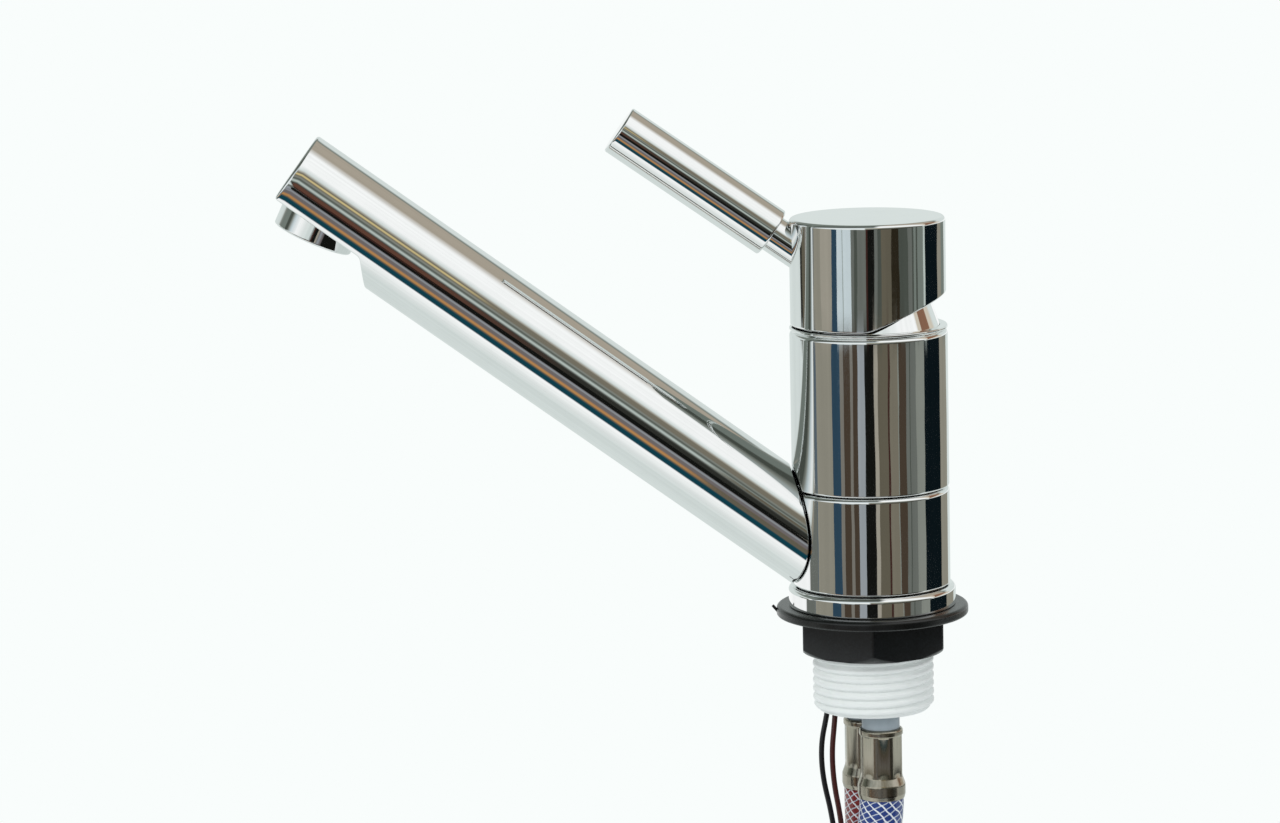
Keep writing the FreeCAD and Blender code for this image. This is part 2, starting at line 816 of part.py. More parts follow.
def pivot_pin():
    reach = rotor_radius - pin_inset
    return cylinder(pivot_pin_diameter / 2, point(0, -reach, pivot_height), point(0, reach, pivot_height))


def lever_stem():
    """Steel stem: a bar up into the cap, a finger down to the disc and a heel over the switch slider."""
    half = stem_thickness / 2
    z = pivot_height
    solid = cylinder(stem_boss_radius, point(0, -half, z), point(0, half, z))
    solid = solid.fuse(block(-stem_bar / 2, stem_bar / 2, -half, half, z, z + stem_bar_rise))
    solid = solid.fuse(block(-stem_bar / 2, stem_bar / 2, -stem_bar / 2, stem_bar / 2,
                             z + stem_bar_rise, z + stem_bar_end))
    solid = solid.fuse(cylinder(finger_radius, point(0, 0, ball_height), point(0, 0, z)))
    solid = solid.fuse(Part.makeSphere(finger_ball_radius, point(0, 0, ball_height)))
    heel = z + heel_rise
    solid = solid.fuse(block(0, heel_reach, -half, half, heel - heel_radius, heel + heel_radius))
    solid = solid.fuse(cylinder(heel_radius, point(heel_reach, -half, heel), point(heel_reach, half, heel)))
    pin_hole = pivot_pin_diameter / 2 + running_gap
    return solid.cut(cylinder(pin_hole, point(0, -half, z), point(0, half, z))).removeSplitter()


def lever_cap():
    inner = cap_radius - cap_wall
    ceiling = cap_top - cap_wall
    solid = turned([
        (inner, cap_bottom), (cap_radius, cap_bottom), (cap_radius, cap_top, cap_edge_round),
        (0, cap_top), (0, ceiling), (inner, ceiling),
    ])
    boss_bottom = ceiling - cap_boss_length
    solid = solid.fuse(Part.makeCylinder(cap_boss_diameter / 2, cap_boss_length, point(0, 0, boss_bottom)))
    screw_height = pivot_height + grub_screw_height
    hole = grub_screw_diameter / 2
    tower = cylinder(hole + screw_tower_wall, point(0, 0, screw_height), point(inner + cap_wall / 2, 0, screw_height))
    solid = solid.fuse(tower)
    solid = solid.cut(cylinder(hole, point(0, 0, screw_height), point(cap_radius, 0, screw_height)))
    half = stem_bar / 2 + fit_gap
    solid = solid.cut(block(-half, half, -half, half, boss_bottom, pivot_height + stem_bar_end + fit_gap))
    neck_hole = Part.makeCylinder(neck_diameter / 2 + fit_gap, grip_start, point(0, 0, neck_inner_end - swing_gap))
    solid = solid.cut(in_frame(neck_hole, lever_frame))
    far = cap_diameter
    climb = (far - cap_cut_start) * math.tan(math.radians(cap_cut_angle))
    rear_cut = sheet_cut([
        (-far, cap_bottom - far), (far, cap_bottom - far), (far, cap_bottom + climb),
        (cap_cut_start, cap_bottom, cap_cut_round), (-far, cap_bottom),
    ], far)
    return solid.cut(rear_cut).removeSplitter()


def lever_neck():
    rod = Part.makeCylinder(neck_diameter / 2, grip_start + neck_grip_depth - neck_inner_end,
                            point(0, 0, neck_inner_end))
    return in_frame(rod, lever_frame)


def lever_grip():
    radius = grip_diameter / 2
    bore = neck_diameter / 2 + fit_gap
    depth = grip_start + neck_grip_depth + fit_gap
    end = grip_start + grip_length
    grip = turned([
        (bore, grip_start), (radius, grip_start, grip_end_round), (radius, end, grip_end_round), (0, end),
        (0, depth), (bore, depth),
    ])
    return in_frame(grip, lever_frame)


def grub_screw():
    height = pivot_height + grub_screw_height
    start = stem_bar / 2 + fit_gap
    end = start + grub_screw_length
    screw = cylinder(grub_screw_diameter / 2 - fit_gap, point(start, 0, height), point(end, 0, height))
    key = []
    for i in range(6):
        angle = math.radians(60 * i)
        reach = grub_key_size / 2 / math.cos(math.radians(30))
        key.append(point(end - grub_key_depth, reach * math.cos(angle), height + reach * math.sin(angle)))
    socket = Part.Face(Part.makePolygon(key + key[:1])).extrude(point(grub_key_depth, 0, 0))
    return screw.cut(socket)


def screw_plug():
    """The plug that closes the screw's hole, flush with the cap."""
    height = pivot_height + grub_screw_height
    rod = cylinder(grub_screw_diameter / 2 - fit_gap, point(cap_radius - plug_length, 0, height),
                   point(cap_radius, 0, height))
    return rod.common(Part.makeCylinder(cap_radius, cap_height, point(0, 0, cap_bottom)))


def switch_slider():
    """Ring round the rotor that the lever's heel pushes down, with a leg to the switch."""
    bottom = slider_top - slider_thickness
    inner = rotor_radius + swing_gap
    solid = Part.makeCylinder(slider_ring_diameter / 2, slider_thickness, point(0, 0, bottom))
    half = slider_leg_width / 2
    outer_x = -slider_leg_radius - slider_leg_depth / 2
    solid = solid.fuse(block(outer_x, -inner, -half, half, bottom, slider_top))
    solid = solid.fuse(block(outer_x, outer_x + slider_leg_depth, -half, half, leg_bottom, slider_top))
    return solid.cut(cylinder(inner, point(0, 0, bottom), point(0, 0, slider_top))).removeSplitter()


def switch_plunger():
    top = leg_bottom - plunger_rest_gap
    return cylinder(plunger_radius, point(-slider_leg_radius, 0, switch_top - plunger_depth),
                    point(-slider_leg_radius, 0, top))


def microswitch():
    x = -slider_leg_radius
    half = switch_width / 2
    solid = block(x - switch_depth / 2, x + switch_depth / 2, -half, half, switch_bottom, switch_top)
    for side in (-1, 1):
        y = side * lead_spacing / 2
        solid = solid.fuse(block(x - terminal_width / 2, x + terminal_width / 2, y - lead_radius, y + lead_radius,
                                 switch_bottom - terminal_length, switch_bottom))
    hole_bottom = switch_top - plunger_depth - plunger_over_travel
    return solid.cut(cylinder(plunger_radius + running_gap, point(x, 0, hole_bottom), point(x, 0, switch_top)))


def swept(path, radius):
    """A round solid along a path that starts straight."""
    first = path.Edges[0]
    start = first.valueAt(first.FirstParameter)
    way = first.tangentAt(first.FirstParameter)
    profile = Part.Wire([Part.makeCircle(radius, start, way)])
    return path.makePipeShell([profile], True, False)


def switch_leads():
    start = switch_bottom - terminal_length
    middle = (tunnel_floor + shoulder_top) / 2
    leads = []
    for side in (-1, 1):
        y = side * lead_spacing / 2
        corners = [
            point(-slider_leg_radius, y, start), point(-slider_leg_radius, y, middle),
            point(lead_duct_x, y, middle), point(lead_duct_x, y, floor_height),
        ]
        path = rounded_path(corners, [0, lead_bend, lead_bend, 0], False)
        leads.append(swept(path, lead_radius))
    return Part.makeCompound(leads)


def free_path(points, name):
    """The route's runs, joined by arcs as large as the shorter run beside each point allows."""
    radii = [0.0]
    for i in range(1, len(points) - 1):
        back = points[i] - points[i - 1]
        ahead = points[i + 1] - points[i]
        turn = back.getAngle(ahead)
        radii.append(0.45 * min(back.Length, ahead.Length) / math.tan(turn / 2))
    radii.append(0.0)
    path = rounded_path(points, radii, False)
    print(name, "length", round(path.Length, 1), "radii", [round(radius) for radius in radii[1:-1]])
    return path


def compare_volume(name, solid, section, length):
    print(name, "volume against section times length", round(solid.Volume / (section * length), 4))


def hose(x, y, route, name):
    """A braided hose: its crimped end in the ferrule, the free stretch and the crimped far end."""
    start = point(x, y, ferrule_end)
    points = [start] + [point(*place) for place in route]
    path = free_path(points, name)
    outer = swept(path, hose_diameter / 2)
    inner = swept(path, hose_bore / 2)
    free = outer.cut(inner)
    section = math.pi * (hose_diameter ** 2 - hose_bore ** 2) / 4
    compare_volume(name, free, section, path.Length)
    end = points[-1]
    near_end = moved(crimped_end(), x, y, ferrule_end)
    far_end = crimped_end()
    far_end.rotate(origin, point(1, 0, 0), 180)
    far_end.translate(end)
    return free.fuse([near_end, far_end]).removeSplitter()


def crimped_end():
    """The hose inside a ferrule whose mouth is at z = 0, reaching up to the ferrule's face."""
    bore = hose_bore / 2
    crimped = hose_crimped_diameter / 2
    top = ferrule_length - ferrule_face - fit_gap
    shoulder = ferrule_bulge_height - fit_gap
    return turned([
        (bore, 0), (hose_diameter / 2, 0), (hose_diameter / 2, shoulder - ferrule_shoulder), (crimped, shoulder),
        (crimped, top), (bore, top),
    ])


def ferrule():
    """A crimped sleeve, mouth at z = 0: bulge, crimped waist and beaded top."""
    bulge = ferrule_bulge_diameter / 2
    bead = ferrule_bead_diameter / 2
    inner = hose_crimped_diameter / 2 + fit_gap
    waist = inner + ferrule_wall
    bead_bottom = ferrule_length - ferrule_bead_height
    shoulder = ferrule_bulge_height
    return turned([
        (hose_diameter / 2 + fit_gap, 0), (bulge, 0, ferrule_wall / 2),
        (bulge, shoulder - ferrule_shoulder, ferrule_shoulder), (waist, shoulder, ferrule_step),
        (waist, bead_bottom), (bead, bead_bottom + ferrule_step, ferrule_step / 2),
        (bead, ferrule_length, ferrule_step), (barb_radius() + fit_gap, ferrule_length),
        (barb_radius() + fit_gap, ferrule_length - ferrule_face), (inner, ferrule_length - ferrule_face),
        (inner, shoulder), (hose_diameter / 2 + fit_gap, shoulder - ferrule_shoulder),
    ])


def barb_radius():
    return hose_bore / 2 - fit_gap


def barbed_section(top):
    """Corners of a barb below the height top, from its tip up."""
    tip = top - barb_length
    pitch = barb_length / (barb_teeth + 1)
    corners = [(tail_bore / 2, tip), (barb_radius() - barb_tooth_depth, tip)]
    for tooth in range(barb_teeth):
        corners.append((barb_radius(), tip + (tooth + 1) * pitch))
        corners.append((barb_radius() - barb_tooth_depth, tip + (tooth + 1) * pitch))
    corners.append((barb_radius(), top))
    return corners


def tail_seal_height():
    return floor_height + tail_socket_depth - tail_seal_inset


def hose_tail():
    """Grey tail from the shank's floor down into the hose, about its own axis."""
    top = floor_height + tail_socket_depth - fit_gap
    groove = tail_seal_section * 0.6
    tail = turned(barbed_section(ferrule_top) + [
        (tail_radius, ferrule_top), (tail_radius, top), (tail_bore / 2, top),
    ])
    return tail.cut(ring(tail_radius + fit_gap, tail_radius - tail_seal_section,
                         tail_seal_height() - groove, tail_seal_height() + groove))


def tail_seals():
    section = tail_seal_section / 2
    seals = []
    for x, y in ((cold_tail_x, -tail_y), (hot_tail_x, tail_y)):
        seals.append(Part.makeTorus(tail_radius - section, section, point(x, y, tail_seal_height())))
    return Part.makeCompound(seals)


def end_stem(route):
    """Push-fit stem crimped into the hose's far end, pointing down."""
    x, y, z = route[-1]
    face = z - ferrule_length
    stem = turned(barbed_section(0) + [
        (end_stem_diameter / 2 + end_stem_collar / 2, 0),
        (end_stem_diameter / 2 + end_stem_collar / 2, end_stem_collar),
        (end_stem_diameter / 2, end_stem_collar), (end_stem_diameter / 2, end_stem_length, end_stem_round),
        (tail_bore / 2, end_stem_length),
    ])
    stem.rotate(origin, point(1, 0, 0), 180)
    stem.translate(point(x, y, face))
    return stem


def end_ferrule(route):
    sleeve = ferrule()
    sleeve.rotate(origin, point(1, 0, 0), 180)
    sleeve.translate(point(*route[-1]))
    return sleeve


def wire(side, route, name):
    start = point(lead_duct_x, side * lead_spacing / 2, floor_height)
    path = free_path([start] + [point(*place) for place in route], name)
    solid = swept(path, lead_radius)
    compare_volume(name, solid, math.pi * lead_radius ** 2, path.Length)
    return solid


def receptacle(route):
    """Blade receptacle crimped on a lead's end: barrel above, flat box with a slot below."""
    x, y, z = route[-1]
    top = z + wire_grip
    barrel_bottom = top - receptacle_barrel_length
    bottom = barrel_bottom - receptacle_length
    solid = cylinder(receptacle_barrel_radius, point(x, y, barrel_bottom), point(x, y, top))
    half = receptacle_width / 2
    thick = receptacle_thickness / 2
    solid = solid.fuse(block(x - half, x + half, y - thick, y + thick, bottom, barrel_bottom))
    slot = receptacle_slot_width / 2
    thin = receptacle_slot_thickness / 2
    solid = solid.cut(block(x - slot, x + slot, y - thin, y + thin, bottom, barrel_bottom - wire_grip / 2))
    return solid.cut(cylinder(lead_radius + fit_gap, point(x, y, z), point(x, y, top)))


pieces = {
    "threaded_shank": threaded_shank(),
    "deck_seal": deck_seal(),
    "base_ring": base_ring(),
    "lower_slip_ring": slip_ring(ring_top),
    "upper_slip_ring": slip_ring(collar_top + fit_gap),
    "swivel_seals": swivel_seals(),
    "mounting_nut": mounting_nut(),
    "body_shell": body_shell(),
    "cartridge_cover": cartridge_cover(),
    "retaining_nut": retaining_nut(),
    "cartridge_housing": cartridge_housing(),
    "cartridge_base": cartridge_base(),
    "port_seals": port_seals(),
    "fixed_disc": fixed_disc(),
    "moving_disc": moving_disc(),
    "disc_carrier": disc_carrier(),
    "mixer_rotor": mixer_rotor(),
    "pivot_pin": pivot_pin(),
    "lever_stem": lever_stem(),
    "lever_cap": lever_cap(),
    "lever_neck": lever_neck(),
    "lever_grip": lever_grip(),
    "grub_screw": grub_screw(),
    "screw_plug": screw_plug(),
    "swivel_collar": swivel_collar(),
    "spout_bush": spout_bush(),
    "spout_tube": spout_tube(),
    "water_tube": water_tube(),
    "nozzle": nozzle(),
    "aerator_insert": aerator_insert(),
    "aerator_screen": aerator_screen(),
    "nozzle_washer": nozzle_washer(),
    "microswitch": microswitch(),
    "switch_plunger": switch_plunger(),
    "switch_slider": switch_slider(),
    "switch_leads": switch_leads(),
    "cold_tail": moved(hose_tail(), cold_tail_x, -tail_y),
    "hot_tail": moved(hose_tail(), hot_tail_x, tail_y),
    "tail_seals": tail_seals(),
    "cold_ferrule": moved(ferrule(), cold_tail_x, -tail_y, ferrule_end),
    "hot_ferrule": moved(ferrule(), hot_tail_x, tail_y, ferrule_end),
    "cold_hose": hose(cold_tail_x, -tail_y, cold_hose_route, "cold hose"),
    "hot_hose": hose(hot_tail_x, tail_y, hot_hose_route, "hot hose"),
    "cold_end_ferrule": end_ferrule(cold_hose_route),
    "hot_end_ferrule": end_ferrule(hot_hose_route),
    "cold_end_stem": end_stem(cold_hose_route),
    "hot_end_stem": end_stem(hot_hose_route),
    "black_wire": wire(1, black_wire_route, "black wire"),
    "brown_wire": wire(-1, brown_wire_route, "brown wire"),
    "black_terminal": receptacle(black_wire_route),
    "brown_terminal": receptacle(brown_wire_route),
}

os.makedirs("parts", exist_ok=True)
for name, shape in pieces.items():
    if not shape.isValid():
        print("not valid:", name)
    shape.exportStep("parts/" + name + ".step")
print(len(pieces), "pieces written")
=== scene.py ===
"""A single-lever mixer tap for a caravan sink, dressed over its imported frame.

Shapes are worked out in millimetres and put into the meshes in metres.
"""
import bpy
import bmesh
import json
import math
import numpy as np
from mathutils import Matrix, Vector


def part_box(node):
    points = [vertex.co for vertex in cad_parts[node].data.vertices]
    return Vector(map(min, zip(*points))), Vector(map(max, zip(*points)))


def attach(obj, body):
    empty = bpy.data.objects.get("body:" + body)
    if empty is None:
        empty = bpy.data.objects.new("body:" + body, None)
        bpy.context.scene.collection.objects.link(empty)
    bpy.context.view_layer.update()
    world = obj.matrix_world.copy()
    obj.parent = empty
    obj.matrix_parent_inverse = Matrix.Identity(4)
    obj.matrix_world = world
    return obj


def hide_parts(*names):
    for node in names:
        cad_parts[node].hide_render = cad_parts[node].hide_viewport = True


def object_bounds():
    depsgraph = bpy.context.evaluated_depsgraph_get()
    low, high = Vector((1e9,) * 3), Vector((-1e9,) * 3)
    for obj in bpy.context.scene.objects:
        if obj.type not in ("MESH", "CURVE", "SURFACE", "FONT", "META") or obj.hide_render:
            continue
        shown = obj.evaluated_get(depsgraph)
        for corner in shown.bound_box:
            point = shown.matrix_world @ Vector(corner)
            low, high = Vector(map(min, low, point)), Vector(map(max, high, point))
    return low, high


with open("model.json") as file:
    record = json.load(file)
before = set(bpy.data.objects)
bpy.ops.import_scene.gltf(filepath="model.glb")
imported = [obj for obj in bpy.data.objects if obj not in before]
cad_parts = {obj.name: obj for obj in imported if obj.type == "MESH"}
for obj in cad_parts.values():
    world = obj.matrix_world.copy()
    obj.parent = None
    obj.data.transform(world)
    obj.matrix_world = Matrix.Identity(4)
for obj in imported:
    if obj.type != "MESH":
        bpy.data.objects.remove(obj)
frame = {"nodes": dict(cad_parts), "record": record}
scene = bpy.context.scene
cad_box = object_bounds()

# Threaded shank: one white acetal moulding that goes through the sink's hole. Above the thread it has
# a flange, the journal that the spout's collar turns on and the seat of the cartridge.
# The thread is moulded, so its crests are broad and soft and its grooves narrow.
MM = 0.001
THREAD_DIAMETER = 33.25
THREAD_PITCH = 2.309
THREAD_DEPTH = 1.1
THREAD_GROOVE_SHARPNESS = 2.0
THREAD_ROWS_PER_TURN = 18
THREAD_START = 0.25
LEAD_IN_LENGTH = 2.2
LEAD_IN_DEPTH = 1.65
SHANK_BORE_RADIUS = 13.75
SHANK_FLOOR = 3.0
SHANK_NECK = -1.4
FLANGE_TOP = 6.5
JOURNAL_RADIUS = 15.0
SHOULDER_INSET = 2.15
SHOULDER_RISE = 4.25
SEAT_RADIUS = 13.0
# Rounds of plain edges, from sharp to well broken.
CRISP = 0.1
EASED = 0.2
SOFT = 0.3
BLUNT = 0.4


def extent(node):
    """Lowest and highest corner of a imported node, in millimetres."""
    low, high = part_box(node)
    return np.array(low) / MM, np.array(high) / MM


def rounded(corners, closed=False, steps=7, guard=0.12):
    """A path through corners (a, b, radius), each made an arc tangent to its two sides.

    An arc's centre lies on the corner's bisector, radius / sin(half the corner's angle) away, and the
    arc is a weighted sum of its two end spokes. A guard point beside each arc keeps flat sides flat
    when they are shaded smooth.
    """
    corners = np.array([(*corner, 0.0)[:3] for corner in corners])
    places = corners[:, :2]
    back = np.roll(places, 1, 0) - places
    ahead = np.roll(places, -1, 0) - places
    back_length = np.linalg.norm(back, axis=1)
    ahead_length = np.linalg.norm(ahead, axis=1)
    back /= back_length[:, None]
    ahead /= ahead_length[:, None]
    half = np.arccos(np.clip((back * ahead).sum(1), -1, 1)) / 2
    radius = corners[:, 2]
    if not closed:
        radius[[0, -1]] = 0
    reach = radius / np.tan(half)
    back_guard = np.minimum(guard, 0.3 * (back_length - reach - np.roll(reach, 1)))
    ahead_guard = np.minimum(guard, 0.3 * (ahead_length - reach - np.roll(reach, -1)))
    share = np.linspace(0, 1, steps + 1)[:, None]
    path = []
    for i, here in enumerate(places):
        if radius[i] == 0:
            path.append(here[None])
            continue
        bisector = back[i] + ahead[i]
        centre = here + bisector / np.linalg.norm(bisector) * radius[i] / np.sin(half[i])
        first = here + back[i] * reach[i] - centre
        last = here + ahead[i] * reach[i] - centre
        turn = np.pi - 2 * half[i]
        path.append(here[None] + back[i] * (reach[i] + back_guard[i]))
        arc = np.sin((1 - share) * turn) * first + np.sin(share * turn) * last
        path.append(centre + arc / np.sin(turn))
        path.append(here[None] + ahead[i] * (reach[i] + ahead_guard[i]))
    return np.concatenate(path)


def full_turn(count):
    """Angles right round, evenly spaced."""
    return np.linspace(0, 2 * np.pi, count, endpoint=False)


def about_z(radius, height, angle):
    """Points round the upright axis: x = r cos a, y = r sin a."""
    return np.stack(np.broadcast_arrays(radius * np.cos(angle), radius * np.sin(angle), height), -1)


def lathe(section, turns=160):
    """Carries a half section (radius, height) round the upright axis."""
    return about_z(section[:, :1], section[:, 1:], full_turn(turns))


def quads(rows, columns, rows_closed):
    """Corner numbers of a grid's quads. Its columns run right round, its rows only if they are closed."""
    i = np.arange(rows if rows_closed else rows - 1)[:, None]
    j = np.arange(columns)
    below = (i + 1) % rows
    right = (j + 1) % columns
    corners = np.broadcast_arrays(
        i * columns + j, i * columns + right, below * columns + right, below * columns + j)
    return np.stack(corners, -1).reshape(-1, 4)


finish = {}


def dress(piece, slot, body, node, material=None):
    """Gives a piece its slot's finish, or its own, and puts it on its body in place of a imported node."""
    scene.collection.objects.link(piece)
    piece.data.materials.append(material or finish[slot])
    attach(piece, body)
    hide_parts(node)
    return piece


def solid_piece(name, grids):
    """One smooth mesh from grids of points, each (grid, rows closed). Poles merge, faces point outwards."""
    points = []
    faces = []
    start = 0
    for grid, rows_closed in grids:
        points.append(grid.reshape(-1, 3) * MM)
        faces.append(quads(*grid.shape[:2], rows_closed) + start)
        start += len(points[-1])
    mesh = bpy.data.meshes.new(name)
    mesh.from_pydata(np.concatenate(points).tolist(), [], np.concatenate(faces).tolist())
    work = bmesh.new()
    work.from_mesh(mesh)
    bmesh.ops.remove_doubles(work, verts=work.verts, dist=1e-7)
    bmesh.ops.recalc_face_normals(work, faces=work.faces)
    work.to_mesh(mesh)
    work.free()
    mesh.shade_smooth()
    return bpy.data.objects.new(name, mesh)


def colour(code):
    """Linear RGBA from an sRGB hex value."""
    parts = np.array([int(code[i:i + 2], 16) / 255 for i in (0, 2, 4)])
    linear = np.where(parts <= 0.04045, parts / 12.92, ((parts + 0.055) / 1.055) ** 2.4)
    return (*linear.tolist(), 1.0)


def add(tree, kind, inputs=None, **settings):
    """Adds a shader node. Settings are its properties, and inputs its sockets' values or what feeds them:
    another node's socket, or a node, which gives its first output in use."""
    made = tree.nodes.new("ShaderNode" + kind)
    for name, value in settings.items():
        setattr(made, name, value)
    for socket, value in (inputs or {}).items():
        if isinstance(value, bpy.types.Node):
            value = next(output for output in value.outputs if output.enabled)
        if isinstance(value, bpy.types.NodeSocket):
            tree.links.new(value, made.inputs[socket])
        else:
            made.inputs[socket].default_value = value
    return made


def blank_material(name):
    """An empty material, its node tree, and object coordinates in metres."""
    material = bpy.data.materials.new(name)
    material.use_nodes = True
    tree = material.node_tree
    tree.nodes.clear()
    return material, tree, add(tree, "TexCoord").outputs["Object"]


def mottled_finish(slot, name, dark, pale, patch, detail, shading,
                   span=(0.0, 1.0), stretch=(1.0, 1.0, 1.0), grain=None):
    """Makes the finish of a slot. Noise in patches of a size in millimetres mixes two colours over a span
    of its values, and a second noise gives a grain of (size, detail, depth, strength). A small stretch
    along an axis draws both out into lines."""
    material, tree, place = blank_material(name)
    place = add(tree, "Mapping", {"Vector": place, "Scale": stretch})
    patches = add(tree, "TexNoise", {"Vector": place, "Scale": 1 / (patch * MM), "Detail": detail})
    mix = add(tree, "MapRange", {"Value": patches, "From Min": span[0], "From Max": span[1]})
    tint = add(tree, "Mix", {0: mix, 6: colour(dark), 7: colour(pale)}, data_type="RGBA")
    inputs = {"Base Color": tint, **shading}
    if grain:
        size, fineness, depth, strength = grain
        rough = add(tree, "TexNoise", {"Vector": place, "Scale": 1 / (size * MM), "Detail": fineness})
        inputs["Normal"] = add(tree, "Bump", {"Height": rough, "Distance": depth * MM, "Strength": strength})
    shader = add(tree, "BsdfPrincipled", inputs)
    add(tree, "OutputMaterial", {"Surface": shader})
    finish[slot] = material


# White acetal, moulded: slightly waxy, with faint flow clouds 4 mm across and a fine mould grain.
mottled_finish("white_acetal", "moulded_white_acetal", "ebeeec", "f6f8f7", 4.0, 3.0, {
    "Roughness": 0.42, "IOR": 1.48, "Subsurface Weight": 0.12,
    "Subsurface Radius": (2 * MM, 2 * MM, 2 * MM), "Subsurface Scale": 1.0,
}, grain=(0.5, 2.0, 0.02, 0.5))

thread_radius = THREAD_DIAMETER / 2
root_radius = thread_radius - THREAD_DEPTH
shank_low, shank_high = extent("threaded_shank")
flange_radius = shank_high[0]
seal_top = extent("base_ring")[0][2]
shell_low, shell_high = extent("body_shell")
body_radius = shell_high[0]
shoulder_radius = body_radius - SHOULDER_INSET
shoulder_top = shell_low[2] + SHOULDER_RISE


def threaded_grid():
    """The shank's wall: radius = crest - depth * groove, where the groove is a power of a raised cosine
    of the helix phase, height / pitch - angle / full turn. The depth fades at the neck, and the crest
    falls away along the lead-in."""
    angle = full_turn(160)
    step = THREAD_PITCH / THREAD_ROWS_PER_TURN
    height = np.arange(shank_low[2] + THREAD_START, SHANK_NECK, step)[:, None]
    phase = height / THREAD_PITCH - angle / (2 * np.pi)
    groove = (0.5 + 0.5 * np.cos(2 * np.pi * phase)) ** THREAD_GROOVE_SHARPNESS
    neck = np.clip((height - SHANK_NECK + THREAD_PITCH) / THREAD_PITCH, 0, 1)
    lead = np.clip(1 - (height - shank_low[2]) / LEAD_IN_LENGTH, 0, 1) ** 2
    depth = THREAD_DEPTH * np.maximum(groove, neck)
    return about_z(thread_radius - depth * (1 - lead) - LEAD_IN_DEPTH * lead, height, angle)


bore = lathe(rounded([
    (0, SHANK_FLOOR), (SHANK_BORE_RADIUS, SHANK_FLOOR, 0.5), (SHANK_BORE_RADIUS, shank_low[2], SOFT),
    (thread_radius - LEAD_IN_DEPTH, shank_low[2]),
]))
upper = lathe(rounded([
    (root_radius, SHANK_NECK), (root_radius, seal_top, CRISP), (flange_radius, seal_top, SOFT),
    (flange_radius, FLANGE_TOP, SOFT), (JOURNAL_RADIUS, FLANGE_TOP, CRISP),
    (JOURNAL_RADIUS, shell_low[2], CRISP), (shoulder_radius, shell_low[2], EASED),
    (shoulder_radius, shoulder_top, EASED), (SEAT_RADIUS, shoulder_top, CRISP),
    (SEAT_RADIUS, shank_high[2], EASED), (0, shank_high[2]),
]))
shank = solid_piece("shank_moulding", [(np.concatenate([bore, threaded_grid(), upper]), False)])
dress(shank, "white_acetal", "base", "threaded_shank")

# Deck seal: a black rubber washer between the base ring and the sink, with a lip that presses on the
# sink. A stub is left on its edge where it was cut from the moulding's runner.
SEAL_LIP = 2.9
SEAL_RECESS = 0.9
SEAL_THREAD_GAP = 0.4
SEAL_LOW_ROUND = 0.6
SEAL_TOP_ROUND = 1.0
STUB_LENGTH = 1.7
STUB_ROOT = 0.5
STUB_THICKNESS = 0.4
STUB_LEAN = math.radians(50)

# Black rubber, moulded: a low sheen, greyed by talc in soft patches, with a fine grain.
mottled_finish("black_rubber", "moulded_black_rubber", "070808", "141616", 6.0, 5.0, {
    "Roughness": 0.27, "IOR": 1.52}, span=(0.35, 0.75), grain=(0.35, 3.0, 0.03, 0.2))


def leaning(grid, angle, height):
    """A grid from its own frame onto a leaning axis: Z runs up to -X at the angle, X points below it."""
    below = np.array([-math.sin(angle), 0, -math.cos(angle)])
    side = np.array([0, -1, 0])
    along = np.array([-math.cos(angle), 0, math.sin(angle)])
    placed = grid[..., :1] * below + grid[..., 1:2] * side + grid[..., 2:] * along
    return placed + [0, 0, height]


seal_radius = extent("deck_seal")[1][0]
seal_inner = thread_radius + SEAL_THREAD_GAP
lip_inner = seal_radius - SEAL_LIP
seal_ring = lathe(rounded([
    (seal_inner, SEAL_RECESS, EASED), (lip_inner, SEAL_RECESS, SOFT), (lip_inner, 0, SOFT),
    (seal_radius, 0, SEAL_LOW_ROUND), (seal_radius, seal_top, SEAL_TOP_ROUND), (seal_inner, seal_top, EASED),
], True))
stub = lathe(rounded([
    (0, -STUB_ROOT), (STUB_THICKNESS, -STUB_ROOT, CRISP), (STUB_THICKNESS, STUB_LENGTH, 0.15),
    (0, STUB_LENGTH),
], steps=4), 24)
stub = leaning(stub, STUB_LEAN, seal_top / 2) + [-seal_radius, 0, 0]
seal = solid_piece("rubber_deck_seal", [(seal_ring, True), (stub, False)])
dress(seal, "black_rubber", "base", "deck_seal")

# Hexagon nut: black glass-filled nylon, screwed up the shank from under the sink. Its lower face is
# turned to a cone, which leaves a curved edge on each flat.
NUT_CORNER_ROUND = 0.06
NUT_CORNER_RADIUS = 22.11
NUT_CHAMFER_WIDTH = 2.8
NUT_CHAMFER_RISE = 2.2
NUT_TURN = math.radians(-92.5)
NUT_BORE_GAP = 0.08

# Glass-filled nylon, moulded: near black, with pale glass specks drawn 0.5 mm across so that they show.
mottled_finish("black_nylon", "moulded_black_nylon", "060708", "191c1f", 0.5, 2.0, {
    "Roughness": 0.36, "IOR": 1.53, "Specular IOR Level": 0.38,
}, span=(0.4, 0.8), grain=(0.5, 2.0, 0.03, 0.5))

nut_low, nut_high = extent("mounting_nut")


